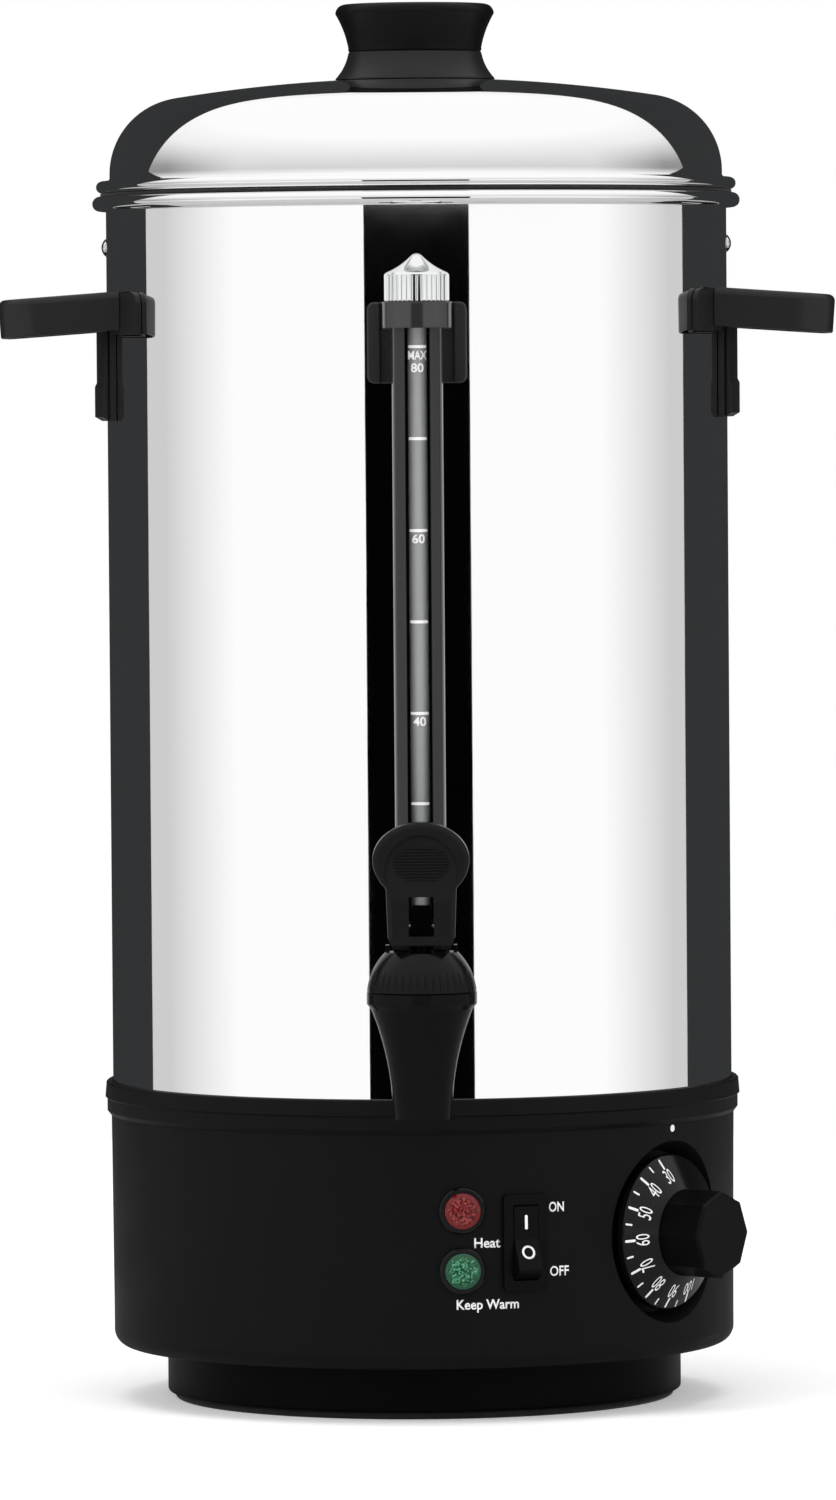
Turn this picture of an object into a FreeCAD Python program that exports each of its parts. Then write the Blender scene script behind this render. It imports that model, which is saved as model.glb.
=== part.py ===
import FreeCAD, Part
import math
import os

# Mulled wine urn, in millimetres.
# The origin is on the drum's axis at the surface the urn stands on. +Z is up, and the
# front, with the tap and the level gauge, faces -Y. An azimuth is counted from the front
# towards +X. A reach is a distance from the drum's axis.

V = FreeCAD.Vector
CENTRE = V(0, 0, 0)
ALONG_X = V(1, 0, 0)
OUTWARD = V(0, -1, 0)
UP = V(0, 0, 1)

# Clearances
side_gap = 0.2
screw_gap = 0.2
running_gap = 0.05
press_gap = 0.02
edge_break = 0.4

# Base
foot_height = 19.0
foot_inset = 19.35
foot_wall = 3.0
foot_plate = 3.0
foot_edge_round = 1.2
foot_rubber_height = 2.4
foot_rubber_inset = 2.6
foot_rubber_width = 3.9
foot_rubber_round = 1.2
foot_rubber_tongue = 5.0
vent_count = 12
vent_length = 22.0
vent_width = 3.0
vent_reach = 30.0
base_shell_height = 82.0
base_shell_overhang = 0.65
base_shell_draft = 0.5
base_wall = 2.6
base_round = 5.5
base_flange_inset = 17.3
collar_height = 12.0
collar_band_height = 5.5
collar_band_proud = 2.4
collar_step_height = 4.4
collar_step_proud = 2.1
collar_chamfer = 0.5
collar_lip_depth = 5.0
collar_lip_wall = 2.1

# Tank
tank_radius = 110.0
tank_wall = 0.8
tank_height = 313.6
tank_skirt = 8.6
tank_floor_rise = 5.6
tank_floor_round = 4.0
rim_bead = 2.6
rim_reach = 4.8

# Lid
lid_seat = 1.2
lid_bead = 2.1
lid_bead_proud = 3.4
lid_side_inset = 1.4
lid_skirt_height = 6.6
lid_shoulder = 27.0
lid_crown = 550.0
lid_wall = 0.8
lock_ring_depth = 26.8
lock_ring_wall = 1.0
lock_ring_gap = 1.8
lock_slot_height = 6.4
lock_slot_entry = 6.0
lock_turn = 25.0
lock_stud_drop = 18.0
lock_stud_radius = 2.2
lock_stud_head = 3.2
lock_stud_head_height = 1.6
lock_stud_reach = 2.0
seal_lip = 4.6
seal_width = 0.9
seal_side_gap = 0.3

# Lid knob
knob_base_radius = 28.3
knob_base_height = 9.4
knob_base_edge = 0.6
knob_waist = 23.6
knob_height = 16.8
knob_radius = 28.1
knob_round = 3.4
knob_screw_radius = 2.5
knob_screw_grip = 10.0
knob_screw_head = 4.5
knob_screw_head_height = 3.0
knob_screw_slot = 1.2
knob_washer_radius = 9.0
knob_washer = 1.2

# Handles
handle_top_drop = 34.2
handle_height = 13.6
handle_projection = 37.5
handle_half_width = 42.0
handle_corner = 14.0
handle_bar = 11.0
handle_wall = 2.4
handle_tilt = 4.0
handle_crosspiece = 4.4
handle_leg = 31.5
handle_leg_angle = 14.7
handle_leg_thickness = 2.0
handle_leg_step = 0.7
handle_leg_step_rise = 12.0
handle_window_corner = 5.0
handle_inset = 12.0
mount_thickness = 2.0
mount_wing_angle = 29.0
mount_wing_height = 14.7
mount_leg_angle = 16.0
mount_corner = 4.0
handle_screw_radius = 2.0
handle_screw_angle = 11.0
handle_screw_head = 3.8
handle_screw_head_height = 2.4
handle_screw_bite = 3.2
leg_screw_bite = 1.0

# Level gauge
gauge_standoff = 12.3
gauge_tube_radius = 3.4
gauge_tube_bore = 2.3
gauge_shield_radius = 8.75
gauge_shield_wall = 1.4
gauge_slot = 8.6
gauge_top_drop = 38.6
gauge_band_height = 9.0
gauge_band_radius = 12.0
gauge_flange_height = 28.0
gauge_flange_width = 34.4
gauge_flange_thickness = 3.0
gauge_wing_width = 4.4
gauge_wing_rise = 2.0
gauge_cap_radius = 11.15
gauge_cap_knurl = 10.0
gauge_cap_cone = 6.5
gauge_cap_tip = 2.2
gauge_cap_dome = 1.1
gauge_cap_dip = 0.35
gauge_cap_plug = 6.5
knurl_count = 40
gauge_seal_height = 6.0
gauge_seal_radius = 4.95
gauge_screw_radius = 1.5
gauge_screw_spacing = 29.4
gauge_screw_cover = 2.6
gauge_screw_head = 2.8
gauge_screw_head_height = 2.0
gauge_flange_round = 2.5
knurl_radius = 0.55

# Tap
tap_standoff = 45.0
tap_shank_rise = 23.6
tap_shank_radius = 9.0
tap_shank_bore = 5.5
tap_shank_inside = 14.0
tap_outlet_drop = 33.3
tap_outlet_radius = 9.8
tap_outlet_bore = 7.4
tap_waist_radius = 10.7
tap_waist_drop = 21.5
tap_band_radius = 18.8
tap_band_height = 3.8
tap_rim_rise = 10.0
tap_bowl_radius = 11.4
tap_seat_drop = 8.0
tap_neck_radius = 15.2
tap_neck_height = 5.5
tap_flange_radius = 14.0
tap_flange_thickness = 4.0
tap_seal_radius = 13.5
tap_seal_thickness = 3.2
lock_nut_flats = 27.0
lock_nut_height = 8.0
gauge_boss_radius = 8.6
gauge_boss_rise = 14.0
bonnet_height = 13.6
bonnet_top_radius = 12.3
bonnet_roof = 2.4
bonnet_flutes = 42
flute_radius = 0.55
ear_height = 2.4
ear_thickness = 1.3
ear_half_length = 3.0
ear_gap = 1.5
cup_flange = 1.4
cup_wall = 1.0
cup_plug_radius = 8.2
cup_plug_height = 5.9
cup_plug_floor = 3.7
cup_bell_rise = 6.0
cup_socket_rise = 4.1
stem_radius = 3.6
stem_head_width = 7.2
stem_head_rise = 7.2
stem_collar_radius = 8.5
stem_collar = 2.0
stem_head_round = 1.2
stem_recess_rise = 1.2
stem_recess_height = 5.0
stem_recess_wall = 0.5
stem_recess_depth = 1.4
stem_recess_round = 4.9
stem_lug_radius = 1.1
stem_lug_drop = 1.8
spring_radius = 6.2
spring_wire = 0.6
spring_turns = 5

# Tap lever
pivot_rise = 8.7
pivot_radius = 1.5
lever_turn = 40.0
valve_lift = 3.5
lever_heel_gap = 0.3
lever_front = 12.6
lever_back = 8.5
lever_foot_width = 18.8
lever_bevel = 5.2
lever_neck_low_width = 22.8
lever_neck_width = 24.0
lever_neck_rise = 22.2
lever_head_width = 33.0
lever_head_rise = 31.4
lever_head_half_height = 13.2
lever_head_thickness = 8.8
lever_round = 1.8
lever_neck_round = 1.5
lever_window_width = 8.6
lever_window_low = 2.9
lever_window_high = 10.5
lever_front_wall = 1.6
dish_radius = 12.6
dish_depth = 1.6
dish_wall_slope = 0.6
dish_drop = 4.2
rib_count = 11
rib_pitch = 1.05
rib_height = 0.45
rib_thickness = 0.5
rib_reach = 9.4
rib_drop = 4.6

# Controls in the base
controls_drop = 38.0
dial_azimuth = 52.0
dial_radius = 27.1
dial_thickness = 3.0
dial_rise = 6.4
dial_inset = 1.35
pocket_radius = 28.5
pocket_depth = 9.15
pocket_floor = 2.5
pocket_wall = 3.6
pocket_lip = 4.0
pocket_lip_depth = 8.15
grip_radius = 15.2
grip_length = 16.6
grip_sides = 8
grip_round = 1.2
shaft_radius = 3.0
shaft_end_wall = 3.5
thermostat_size = 36.0
thermostat_depth = 22.0
thermostat_bush = 4.6
thermostat_screw_radius = 2.0
thermostat_screw_spacing = 28.0
thermostat_screw_head = 3.4
thermostat_screw_bite = 8.0
switch_azimuth = 18.4
switch_bezel_width = 15.9
switch_bezel_height = 33.4
switch_bezel = 1.6
switch_body_width = 12.9
switch_body_height = 29.8
switch_depth = 22.0
rocker_width = 8.6
rocker_radius = 13.3
rocker_tilt = 14.0
rocker_back = 3.0
rocker_pivot_depth = 4.15
rocker_pin_radius = 1.2
rocker_pin_bite = 0.9
switch_corner = 1.5
switch_window_height = 26.2
terminal_width = 6.3
terminal_thickness = 0.8
terminal_length = 8.0
terminal_spacing = 9.5
lamp_azimuth = 6.9
lamp_heat_rise = 11.4
lamp_warm_drop = 9.4
lamp_bezel_radius = 8.0
lamp_bezel = 1.55
lamp_lens_radius = 6.2
lamp_dome = 1.3
lamp_barrel_radius = 6.4
lamp_depth = 20.0
lamp_wall = 1.5
lamp_plug = 6.0
gland_height = 42.0
gland_bore = 3.9
gland_radius = 8.0
gland_flange_radius = 11.0
gland_flange = 3.0
gland_length = 12.0
gland_nut_flats = 22.0
gland_nut = 5.0

# Heating
heater_inset = 34.2
heater_thickness = 4.5
element_inset = 13.0
element_tube = 4.2
element_sweep = 300.0
element_elbow = 8.0
element_leg = 7.7
element_pin_radius = 1.5
element_pin_length = 12.0
cutout_radius = 8.0
cutout_height = 11.0
cutout_ear_reach = 12.0
cutout_ear_half_width = 3.0
cutout_ear = 1.0
cutout_setback = -20.0
bulb_radius = 3.0
bulb_ring_gap = 29.0
bulb_setback = 28.0
bulb_clip_spacing = 40.0
bulb_clip_width = 4.0
bulb_clip_wall = 2.4
capillary_radius = 1.0
shield_inset = 13.2
shield_thickness = 0.8
shield_drop = 30.6
rod_radius = 2.5
rod_inset = 11.3
rod_tail = 2.0
rod_azimuths = (-30.0, 90.0, 210.0)
nut_flats = 8.0
nut_height = 4.0
earth_azimuth = 150.0
earth_inset = 17.2
earth_length = 18.0
earth_radius = 2.0
earth_nut_flats = 7.0
earth_nut = 3.2
block_width = 34.0
block_depth = 16.0
block_height = 13.5
block_inset = 33.3
block_wire_hole = 2.0
block_screw_hole = 2.2
block_pitch = 10.2
wire_radius = 1.2

# Reaches that follow from the sizes above
tank_inside = tank_radius - tank_wall
base_shell_radius = tank_radius + base_shell_overhang
foot_radius = base_shell_radius - foot_inset
base_flange_reach = foot_radius - base_flange_inset
mount_reach = tank_radius + side_gap + mount_thickness
handle_reach = tank_radius + handle_projection
gauge_reach = tank_radius + gauge_standoff
tap_reach = tank_radius + tap_standoff
dial_reach = base_shell_radius - dial_inset
grip_seat_reach = dial_reach + dial_rise
pocket_floor_reach = base_shell_radius - pocket_depth
heater_radius = tank_inside - heater_inset
element_ring = heater_radius - element_inset
bulb_length = 2 * (element_ring - bulb_ring_gap)
shield_radius = tank_inside - shield_inset
rod_reach = foot_radius - rod_inset
earth_reach = tank_inside - earth_inset
block_setback = foot_radius - block_inset

# Heights that follow from the sizes above
shell_top = foot_height + base_shell_height
controls_height = shell_top - controls_drop
lamp_heat_height = controls_height + lamp_heat_rise
lamp_warm_height = controls_height - lamp_warm_drop
collar_top = shell_top + collar_height
tank_low = collar_top - tank_skirt
floor_under = collar_top + tank_floor_rise
floor_top = floor_under + tank_wall
rim_top = collar_top + tank_height
lid_low = rim_top + lid_seat
lid_side = tank_radius - lid_side_inset
lid_inside = lid_side - lid_wall
lid_skirt_top = lid_low + lid_skirt_height
shoulder_reach = lid_side - lid_shoulder
crown_centre = lid_skirt_top - math.sqrt((lid_crown - lid_shoulder) ** 2 - shoulder_reach ** 2)
lid_top = crown_centre + lid_crown
lock_height = rim_top - lock_stud_drop
knob_seam = lid_top + knob_base_height
handle_top = rim_top - handle_top_drop
heater_under = floor_under - side_gap - heater_thickness
shield_under = floor_under - shield_drop
tap_axis_height = floor_top + tap_shank_rise
tap_rim = tap_axis_height + tap_rim_rise
tap_seat = tap_axis_height - tap_seat_drop
neck_top = tap_rim + tap_neck_height
bonnet_low = tap_rim + side_gap
bonnet_top = bonnet_low + bonnet_height
bonnet_ceiling = bonnet_top - bonnet_roof
pivot_height = bonnet_top + pivot_rise
gauge_top = rim_top - gauge_top_drop
boss_top = tap_axis_height + gauge_boss_rise


def path_edges(points, place):
    """Edges of an outline. A pair of points is an arc through the first to the second."""
    edges = []
    last = points[0]
    for item in points[1:]:
        if isinstance(item[0], tuple):
            through, end = item
            edges.append(Part.Arc(place(last), place(through), place(end)).toShape())
        else:
            end = item
            edges.append(Part.makeLine(place(last), place(end)))
        last = end
    return edges


def outline_face(points, place):
    """A flat face inside a closed outline."""
    edges = path_edges(points + [points[0]], place)
    return Part.Face(Part.Wire(edges))


def upright(shape):
    """The solid the right way out."""
    if shape.Volume < 0:
        shape.reverse()
    return shape


def turned(points, x=0.0, y=0.0, sweep=360.0):
    """A solid turned about a vertical axis from (radius, height) points."""
    face = outline_face(points, lambda p: V(p[0], 0, p[1]))
    solid = upright(face.revolve(CENTRE, UP, sweep))
    solid.translate(V(x, y, 0))
    return solid


def turned_outward(points, x=0.0, z=0.0):
    """A solid turned about a level axis that points to the front, from (radius, reach)."""
    face = outline_face(points, lambda p: V(p[0], -p[1], 0))
    solid = upright(face.revolve(CENTRE, OUTWARD, 360))
    solid.translate(V(x, 0, z))
    return solid


def prism_x(points, half_width):
    """A solid from (y, z) points, as wide as twice half_width along X."""
    face = outline_face(points, lambda p: V(-half_width, p[0], p[1]))
    return upright(face.extrude(V(2 * half_width, 0, 0)))


def post(radius, low, high, x=0.0, y=0.0):
    return Part.makeCylinder(radius, high - low, V(x, y, low), UP)


def rod(radius, near, far, z, x=0.0):
    """A level round bar that points to the front, between two reaches."""
    return Part.makeCylinder(radius, far - near, V(x, -near, z), OUTWARD)


def cross_rod(radius, half_length, y, z):
    return Part.makeCylinder(radius, 2 * half_length, V(-half_length, y, z), ALONG_X)


def block(x0, x1, y0, y1, z0, z1):
    return Part.makeBox(x1 - x0, y1 - y0, z1 - z0, V(x0, y0, z0))


def ring(outer, inner, low, high, x=0.0, y=0.0):
    return post(outer, low, high, x, y).cut(post(inner, low - 1, high + 1, x, y))


def sector(outer, inner, low, high, half_angle):
    """Part of a ring, centred on the +X direction."""
    points = [(inner, low), (outer, low), (outer, high), (inner, high)]
    solid = turned(points, sweep=2 * half_angle)
    solid.rotate(CENTRE, UP, -half_angle)
    return solid


def turn_to(shape, azimuth):
    """The shape, modelled at the front, moved round the drum."""
    copy = shape.copy()
    copy.rotate(CENTRE, UP, azimuth)
    return copy


def polygon_points(sides, across_flats):
    radius = across_flats / 2 / math.cos(math.pi / sides)
    steps = [2 * math.pi * (i + 0.5) / sides for i in range(sides)]
    return [(radius * math.cos(a), radius * math.sin(a)) for a in steps]


def hex_post(flats, low, high, x=0.0, y=0.0):
    face = outline_face(polygon_points(6, flats), lambda p: V(x + p[0], y + p[1], low))
    return upright(face.extrude(V(0, 0, high - low)))


def polygon_rod(sides, flats, near, far, z):
    face = outline_face(polygon_points(sides, flats), lambda p: V(p[0], -near, z + p[1]))
    return upright(face.extrude(V(0, near - far, 0)))


def fillet_where(shape, radius, test):
    """Rounds the edges whose middle point passes the test."""
    chosen = []
    for edge in shape.Edges:
        middle = edge.valueAt((edge.FirstParameter + edge.LastParameter) / 2)
        if test(edge, middle):
            chosen.append(edge)
    return shape.makeFillet(radius, chosen)


def dome(radius, height, base):
    """An arc from a rim of this radius to its top on the axis, for turned outlines."""
    ball = (radius ** 2 + height ** 2) / 2 / height
    middle = base + height - ball + math.sqrt(ball ** 2 - radius ** 2 / 4)
    return ((radius / 2, middle), (0, base + height))


def on_circle(radius, angle, x=0.0, y=0.0):
    return (x + radius * math.cos(math.radians(angle)), y + radius * math.sin(math.radians(angle)))


def azimuth_point(reach, azimuth, z):
    turn = math.radians(azimuth)
    return V(reach * math.sin(turn), -reach * math.cos(turn), z)


# Tank and base

def shell_radius(z):
    """Outer radius of the base shell at a height."""
    return base_shell_radius - base_shell_draft * (shell_top - z) / base_shell_height


def shell_profile(inset):
    """Outline of the base shell's outer or inner surface, closed on the axis."""
    low = foot_height + inset
    turn_height = foot_height + base_round
    side = shell_radius(turn_height)
    centre = side - base_round
    round_radius = base_round - inset
    middle = on_circle(round_radius, -45, centre, turn_height)
    return [
        (0, low),
        (centre, low),
        (middle, (side - inset, turn_height)),
        (base_shell_radius - inset, shell_top),
        (0, shell_top),
    ]


def switch_opening():
    half_width = switch_body_width / 2 + side_gap
    half_height = switch_body_height / 2 + side_gap
    near = base_shell_radius - 3 * base_wall
    low = controls_height - half_height
    return block(-half_width, half_width, -base_shell_radius - 1, -near, low, low + 2 * half_height)


def dial_cup(envelope):
    """The round cup behind the dial, cut off by the shell's own outer surface and the collar's lip."""
    near = pocket_floor_reach - pocket_floor
    cup = rod(pocket_radius + pocket_wall, near, base_shell_radius, controls_height)
    lip_low = shell_top - collar_lip_depth - side_gap
    cup = turn_to(cup, dial_azimuth).common(envelope)
    return cup.cut(post(base_shell_radius - base_wall, lip_low, shell_top))


def dial_pocket():
    """The cutters for the dial: pocket, lip, shaft hole and screw holes."""
    near = pocket_floor_reach - pocket_floor
    far = base_shell_radius + 1
    cutters = [rod(pocket_radius, pocket_floor_reach, far, controls_height)]
    lip_base = V(0, pocket_lip_depth - far, controls_height)
    lip = Part.makeCone(pocket_radius, pocket_radius + pocket_lip, pocket_lip_depth, lip_base, OUTWARD)
    cutters.append(lip)
    cutters.append(rod(thermostat_bush + side_gap, near - 1, far, controls_height))
    for side in (-1, 1):
        x = side * thermostat_screw_spacing / 2
        cutters.append(rod(thermostat_screw_radius + screw_gap, near - 1, far, controls_height, x))
        head = thermostat_screw_head + screw_gap
        cutters.append(rod(head, pocket_floor_reach - pocket_floor / 2, far, controls_height, x))
    return [turn_to(cutter, dial_azimuth) for cutter in cutters]


def base_shell():
    envelope = turned(shell_profile(0))
    hollow = turned(shell_profile(base_wall))
    shell = envelope.cut(hollow)
    shell = shell.cut(post(base_flange_reach, foot_height - 1, foot_height + base_wall + 1))
    shell = shell.fuse(dial_cup(envelope))
    cutters = dial_pocket()
    cutters.append(turn_to(switch_opening(), switch_azimuth))
    for height in (lamp_heat_height, lamp_warm_height):
        hole = rod(lamp_barrel_radius + side_gap, base_shell_radius - 12, base_shell_radius + 1, height)
        cutters.append(turn_to(hole, lamp_azimuth))
    gland_hole = rod(gland_radius + side_gap, base_shell_radius - 12, base_shell_radius + 1, gland_height)
    cutters.append(turn_to(gland_hole, 180))
    for azimuth in rod_azimuths:
        place = azimuth_point(rod_reach, azimuth, 0)
        cutters.append(post(rod_radius + screw_gap, foot_height - 1, foot_height + 8, place.x, place.y))
    for cutter in cutters:
        shell = shell.cut(cutter)
    return shell.removeSplitter()


def base_plate():
    plate_low = foot_height - foot_plate
    edge = foot_radius - foot_edge_round
    edge_middle = on_circle(foot_edge_round, -45, edge, foot_rubber_height + foot_edge_round)
    plate = turned([
        (0, plate_low),
        (foot_radius - foot_wall, plate_low),
        (foot_radius - foot_wall, foot_rubber_height),
        (edge, foot_rubber_height),
        (edge_middle, (foot_radius, foot_rubber_height + foot_edge_round)),
        (foot_radius, foot_height),
        (0, foot_height),
    ])
    for azimuth in rod_azimuths:
        place = azimuth_point(rod_reach, azimuth, 0)
        plate = plate.cut(post(rod_radius + screw_gap, plate_low - 1, foot_height + 1, place.x, place.y))
    half = vent_width / 2
    far = vent_reach + vent_length
    for i in range(vent_count):
        slot = block(-half, half, -far, -vent_reach, plate_low - 1, foot_height + 1)
        plate = plate.cut(turn_to(slot, i * 360 / vent_count))
    return plate


def foot_ring():
    """Rubber ring under the foot, with a tongue inside the foot's wall."""
    outer = foot_radius - foot_rubber_inset
    inner = outer - foot_rubber_width
    tongue = foot_radius - foot_wall - side_gap
    bend = outer - foot_rubber_round
    middle = on_circle(foot_rubber_round, -45, bend, foot_rubber_round)
    return turned([
        (inner, 0),
        (bend, 0),
        (middle, (outer, foot_rubber_round)),
        (outer, foot_rubber_height),
        (tongue, foot_rubber_height),
        (tongue, foot_rubber_height + foot_rubber_tongue),
        (inner + 1, foot_rubber_height + foot_rubber_tongue),
        (inner, foot_rubber_height),
    ])


def base_collar():
    """Two stepped bands that cover the joint of drum and base, with a lip inside the shell."""
    bore = tank_radius + side_gap
    shelf = tank_low - side_gap
    lip_outer = base_shell_radius - base_wall - side_gap
    lip_inner = lip_outer - collar_lip_wall
    band = tank_radius + collar_band_proud
    step = tank_radius + collar_step_proud
    band_low = collar_top - collar_band_height
    step_high = band_low - collar_chamfer
    step_low = step_high - collar_step_height
    return turned([
        (bore, collar_top),
        (band - collar_chamfer, collar_top),
        (band, collar_top - collar_chamfer),
        (band + edge_break, band_low),
        (step, step_high),
        (step, step_low),
        (base_shell_radius + side_gap, shell_top),
        (lip_outer, shell_top),
        (lip_outer, shell_top - collar_lip_depth),
        (lip_inner, shell_top - collar_lip_depth),
        (lip_inner, shelf),
        (bore, shelf),
    ])


def handle_screw_places():
    """Height and angle from the +X direction of each of a handle's three screws."""
    upper = handle_top - handle_height / 2
    lower = handle_top - handle_height - handle_leg * 0.75
    return [(upper, -handle_screw_angle), (upper, handle_screw_angle), (lower, 0.0)]


def handle_screw_holes(radius, near, far):
    """Round bars along the six handle screws."""
    bars = []
    for side in (90, 270):
        for height, angle in handle_screw_places():
            bars.append(turn_to(rod(radius, near, far, height), side + angle))
    return bars


def tank():
    bead_centre = tank_radius + rim_reach - rim_bead
    bead_height = rim_top - rim_bead
    drop = math.sqrt(rim_bead ** 2 - (bead_centre - tank_radius) ** 2)
    corner = tank_inside - tank_floor_round
    corner_middle = on_circle(tank_floor_round, -45, corner, floor_top + tank_floor_round)
    body = turned([
        (tank_inside, tank_low),
        (tank_radius, tank_low),
        (tank_radius, bead_height - drop),
        ((tank_radius + rim_reach, bead_height), (bead_centre, rim_top)),
        (tank_radius, rim_top),
        (tank_inside, rim_top - tank_wall),
        (tank_inside, floor_top + tank_floor_round),
        (corner_middle, (corner, floor_top)),
        (0, floor_top),
        (0, floor_under),
        (tank_inside, floor_under),
    ])
    near = tank_radius - 5
    far = tank_radius + 5
    cutters = [rod(tap_shank_radius + side_gap, near - 5, far, tap_axis_height)]
    for side in (90, 270):
        cutters.append(turn_to(rod(lock_stud_radius + running_gap, near, far, lock_height), side))
    cutters += handle_screw_holes(handle_screw_radius + screw_gap, near, far)
    for x in gauge_screw_places():
        cutters.append(rod(gauge_screw_radius + screw_gap, near, far, gauge_screw_height(), x))
    for cutter in cutters:
        body = body.cut(cutter)
    return body


def lid_lock_studs():
    """Riveted studs whose inner ends hold the lid's slots."""
    inner = tank_inside - side_gap * 2 - lock_ring_wall - lock_stud_reach
    head_face = tank_radius + side_gap / 2
    studs = []
    for side in (90, 270):
        stud = turned_outward([
            (0, inner),
            (lock_stud_radius, inner),
            (lock_stud_radius, head_face),
            (lock_stud_head, head_face),
            dome(lock_stud_head, lock_stud_head_height, head_face),
        ], 0, lock_height)
        studs.append(turn_to(stud, side))
    return Part.makeCompound(studs)


# Lid

def crown_point(radius, reach):
    """A point on a sphere about the lid's crown centre, at a distance from the axis."""
    return (reach, crown_centre + math.sqrt(radius ** 2 - reach ** 2))


def lid_shell():
    slope_x = shoulder_reach / (lid_crown - lid_shoulder)
    slope_z = (lid_skirt_top - crown_centre) / (lid_crown - lid_shoulder)
    hole = knob_screw_radius + screw_gap

    def shoulder(inset):
        join = (slope_x * (lid_crown - inset), crown_centre + slope_z * (lid_crown - inset))
        middle = on_circle(lid_shoulder - inset, 41, shoulder_reach, lid_skirt_top)
        return join, middle

    outer_join, outer_middle = shoulder(0)
    inner_join, inner_middle = shoulder(lid_wall)
    bead_centre = tank_radius + lid_bead_proud - lid_bead
    bead_height = lid_low + lid_bead
    half_reach = outer_join[0] / 2
    return turned([
        crown_point(lid_crown, hole),
        (crown_point(lid_crown, half_reach), outer_join),
        (outer_middle, (lid_side, lid_skirt_top)),
        (lid_side - 0.3, lid_skirt_top - 1.4),
        (lid_side + 0.5, bead_height + lid_bead),
        (bead_centre, bead_height + lid_bead),
        ((bead_centre + lid_bead, bead_height), (bead_centre, lid_low)),
        (lid_inside, lid_low),
        (lid_inside, lid_skirt_top),
        (inner_middle, inner_join),
        (crown_point(lid_crown - lid_wall, half_reach), crown_point(lid_crown - lid_wall, hole)),
    ])


def lid_lock_ring():
    """Skirt inside the lid with an L-shaped slot over each stud."""
    outer = tank_inside - lock_ring_gap
    inner = outer - lock_ring_wall
    seat = lid_inside - side_gap / 2
    low = lid_low - lock_ring_depth
    body = turned([
        (inner, low),
        (outer, low),
        (outer, lid_low + side_gap),
        (seat, lid_low + side_gap + edge_break),
        (seat, lid_skirt_top),
        (inner, lid_skirt_top),
    ])
    slot_low = lock_height - lock_slot_height / 2
    slot_high = slot_low + lock_slot_height
    extra = math.degrees(lock_slot_entry / 2 / outer)
    run = sector(outer + 1, inner - 1, slot_low, slot_high, (lock_turn + 2 * extra) / 2)
    run.rotate(CENTRE, UP, lock_turn / 2)
    half = lock_slot_entry / 2
    entry = block(inner - 1, outer + 1, -half, half, low - 1, slot_high)
    for side in (0, 180):
        for cutter in (run.copy(), entry.copy()):
            cutter.rotate(CENTRE, UP, side)
            body = body.cut(cutter)
    return body


def lid_seal():
    """Silicone ring under the lid's bead, with a lip inside the tank."""
    lip_outer = tank_inside - seal_side_gap
    inner = lip_outer - seal_width
    outer = tank_radius + rim_reach - rim_bead - seal_side_gap
    low = rim_top + side_gap
    high = lid_low - side_gap
    return turned([
        (inner, low - seal_lip),
        (lip_outer, low - seal_lip),
        (lip_outer, low),
        (outer, low),
        (outer, high),
        (inner, high),
    ])


def lid_knob_base():
    bore = knob_screw_radius + screw_gap
    ball = lid_crown + side_gap
    edge = crown_point(ball, knob_base_radius)
    return turned([
        crown_point(ball, bore),
        (crown_point(ball, knob_base_radius / 2), edge),
        (knob_base_radius - 0.2, edge[1] + knob_base_edge),
        ((knob_waist + 1.7, lid_top + 4.0), (knob_waist, knob_seam - 0.4)),
        (knob_waist - 0.4, knob_seam),
        (bore, knob_seam),
    ])


def lid_knob():
    top = knob_seam + knob_height
    shoulder = top - knob_round
    flare_start = knob_seam + 1.5
    flare_middle = ((knob_waist + knob_radius) / 2 - 0.6, (flare_start + shoulder) / 2)
    round_middle = on_circle(knob_round, 45, knob_radius - knob_round, shoulder)
    return turned([
        (0, knob_seam + knob_screw_grip + 1),
        (knob_screw_radius + running_gap, knob_seam + knob_screw_grip + 1),
        (knob_screw_radius + running_gap, knob_seam),
        (knob_waist - 0.4, knob_seam),
        (knob_waist, knob_seam + 0.4),
        (knob_waist, flare_start),
        (flare_middle, (knob_radius, shoulder)),
        (round_middle, (knob_radius - knob_round, top)),
        (0, top),
    ])


def washer_top():
    return crown_point(lid_crown - lid_wall, knob_washer_radius)[1] - side_gap / 2


def lid_knob_washer():
    high = washer_top()
    return ring(knob_washer_radius, knob_screw_radius + screw_gap, high - knob_washer, high)


def lid_knob_screw():
    seat = washer_top() - knob_washer
    low = seat - knob_screw_head_height
    head = post(knob_screw_head, low, seat)
    half = knob_screw_slot / 2
    slot = block(-half, half, -knob_screw_head - 1, knob_screw_head + 1, low - 1, low + knob_screw_slot)
    return head.cut(slot).fuse(post(knob_screw_radius, seat, knob_seam + knob_screw_grip))


# Handles, modelled on the right and mirrored

def handle_mount():
    """Plate that wraps the drum: two wings above and a leg below."""
    near = tank_radius + side_gap
    low = handle_top - mount_wing_height
    wings = sector(mount_reach, near, low, handle_top, mount_wing_angle)
    leg_low = handle_top - handle_height - handle_leg
    leg = sector(mount_reach, near, leg_low, low + 1, mount_leg_angle)
    end_y = mount_reach * math.sin(math.radians(mount_wing_angle)) * 0.97

    def upper_corner(edge, middle):
        return abs(middle.y) > end_y and middle.z > handle_top - 0.01 and edge.Length < 3

    wings = fillet_where(wings, mount_corner, upper_corner)
    plate = wings.fuse(leg)
    for height, angle in handle_screw_places():
        hole = rod(handle_screw_radius + screw_gap, near - 5, mount_reach + 5, height)
        plate = plate.cut(turn_to(hole, 90 + angle))
    return plate


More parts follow.
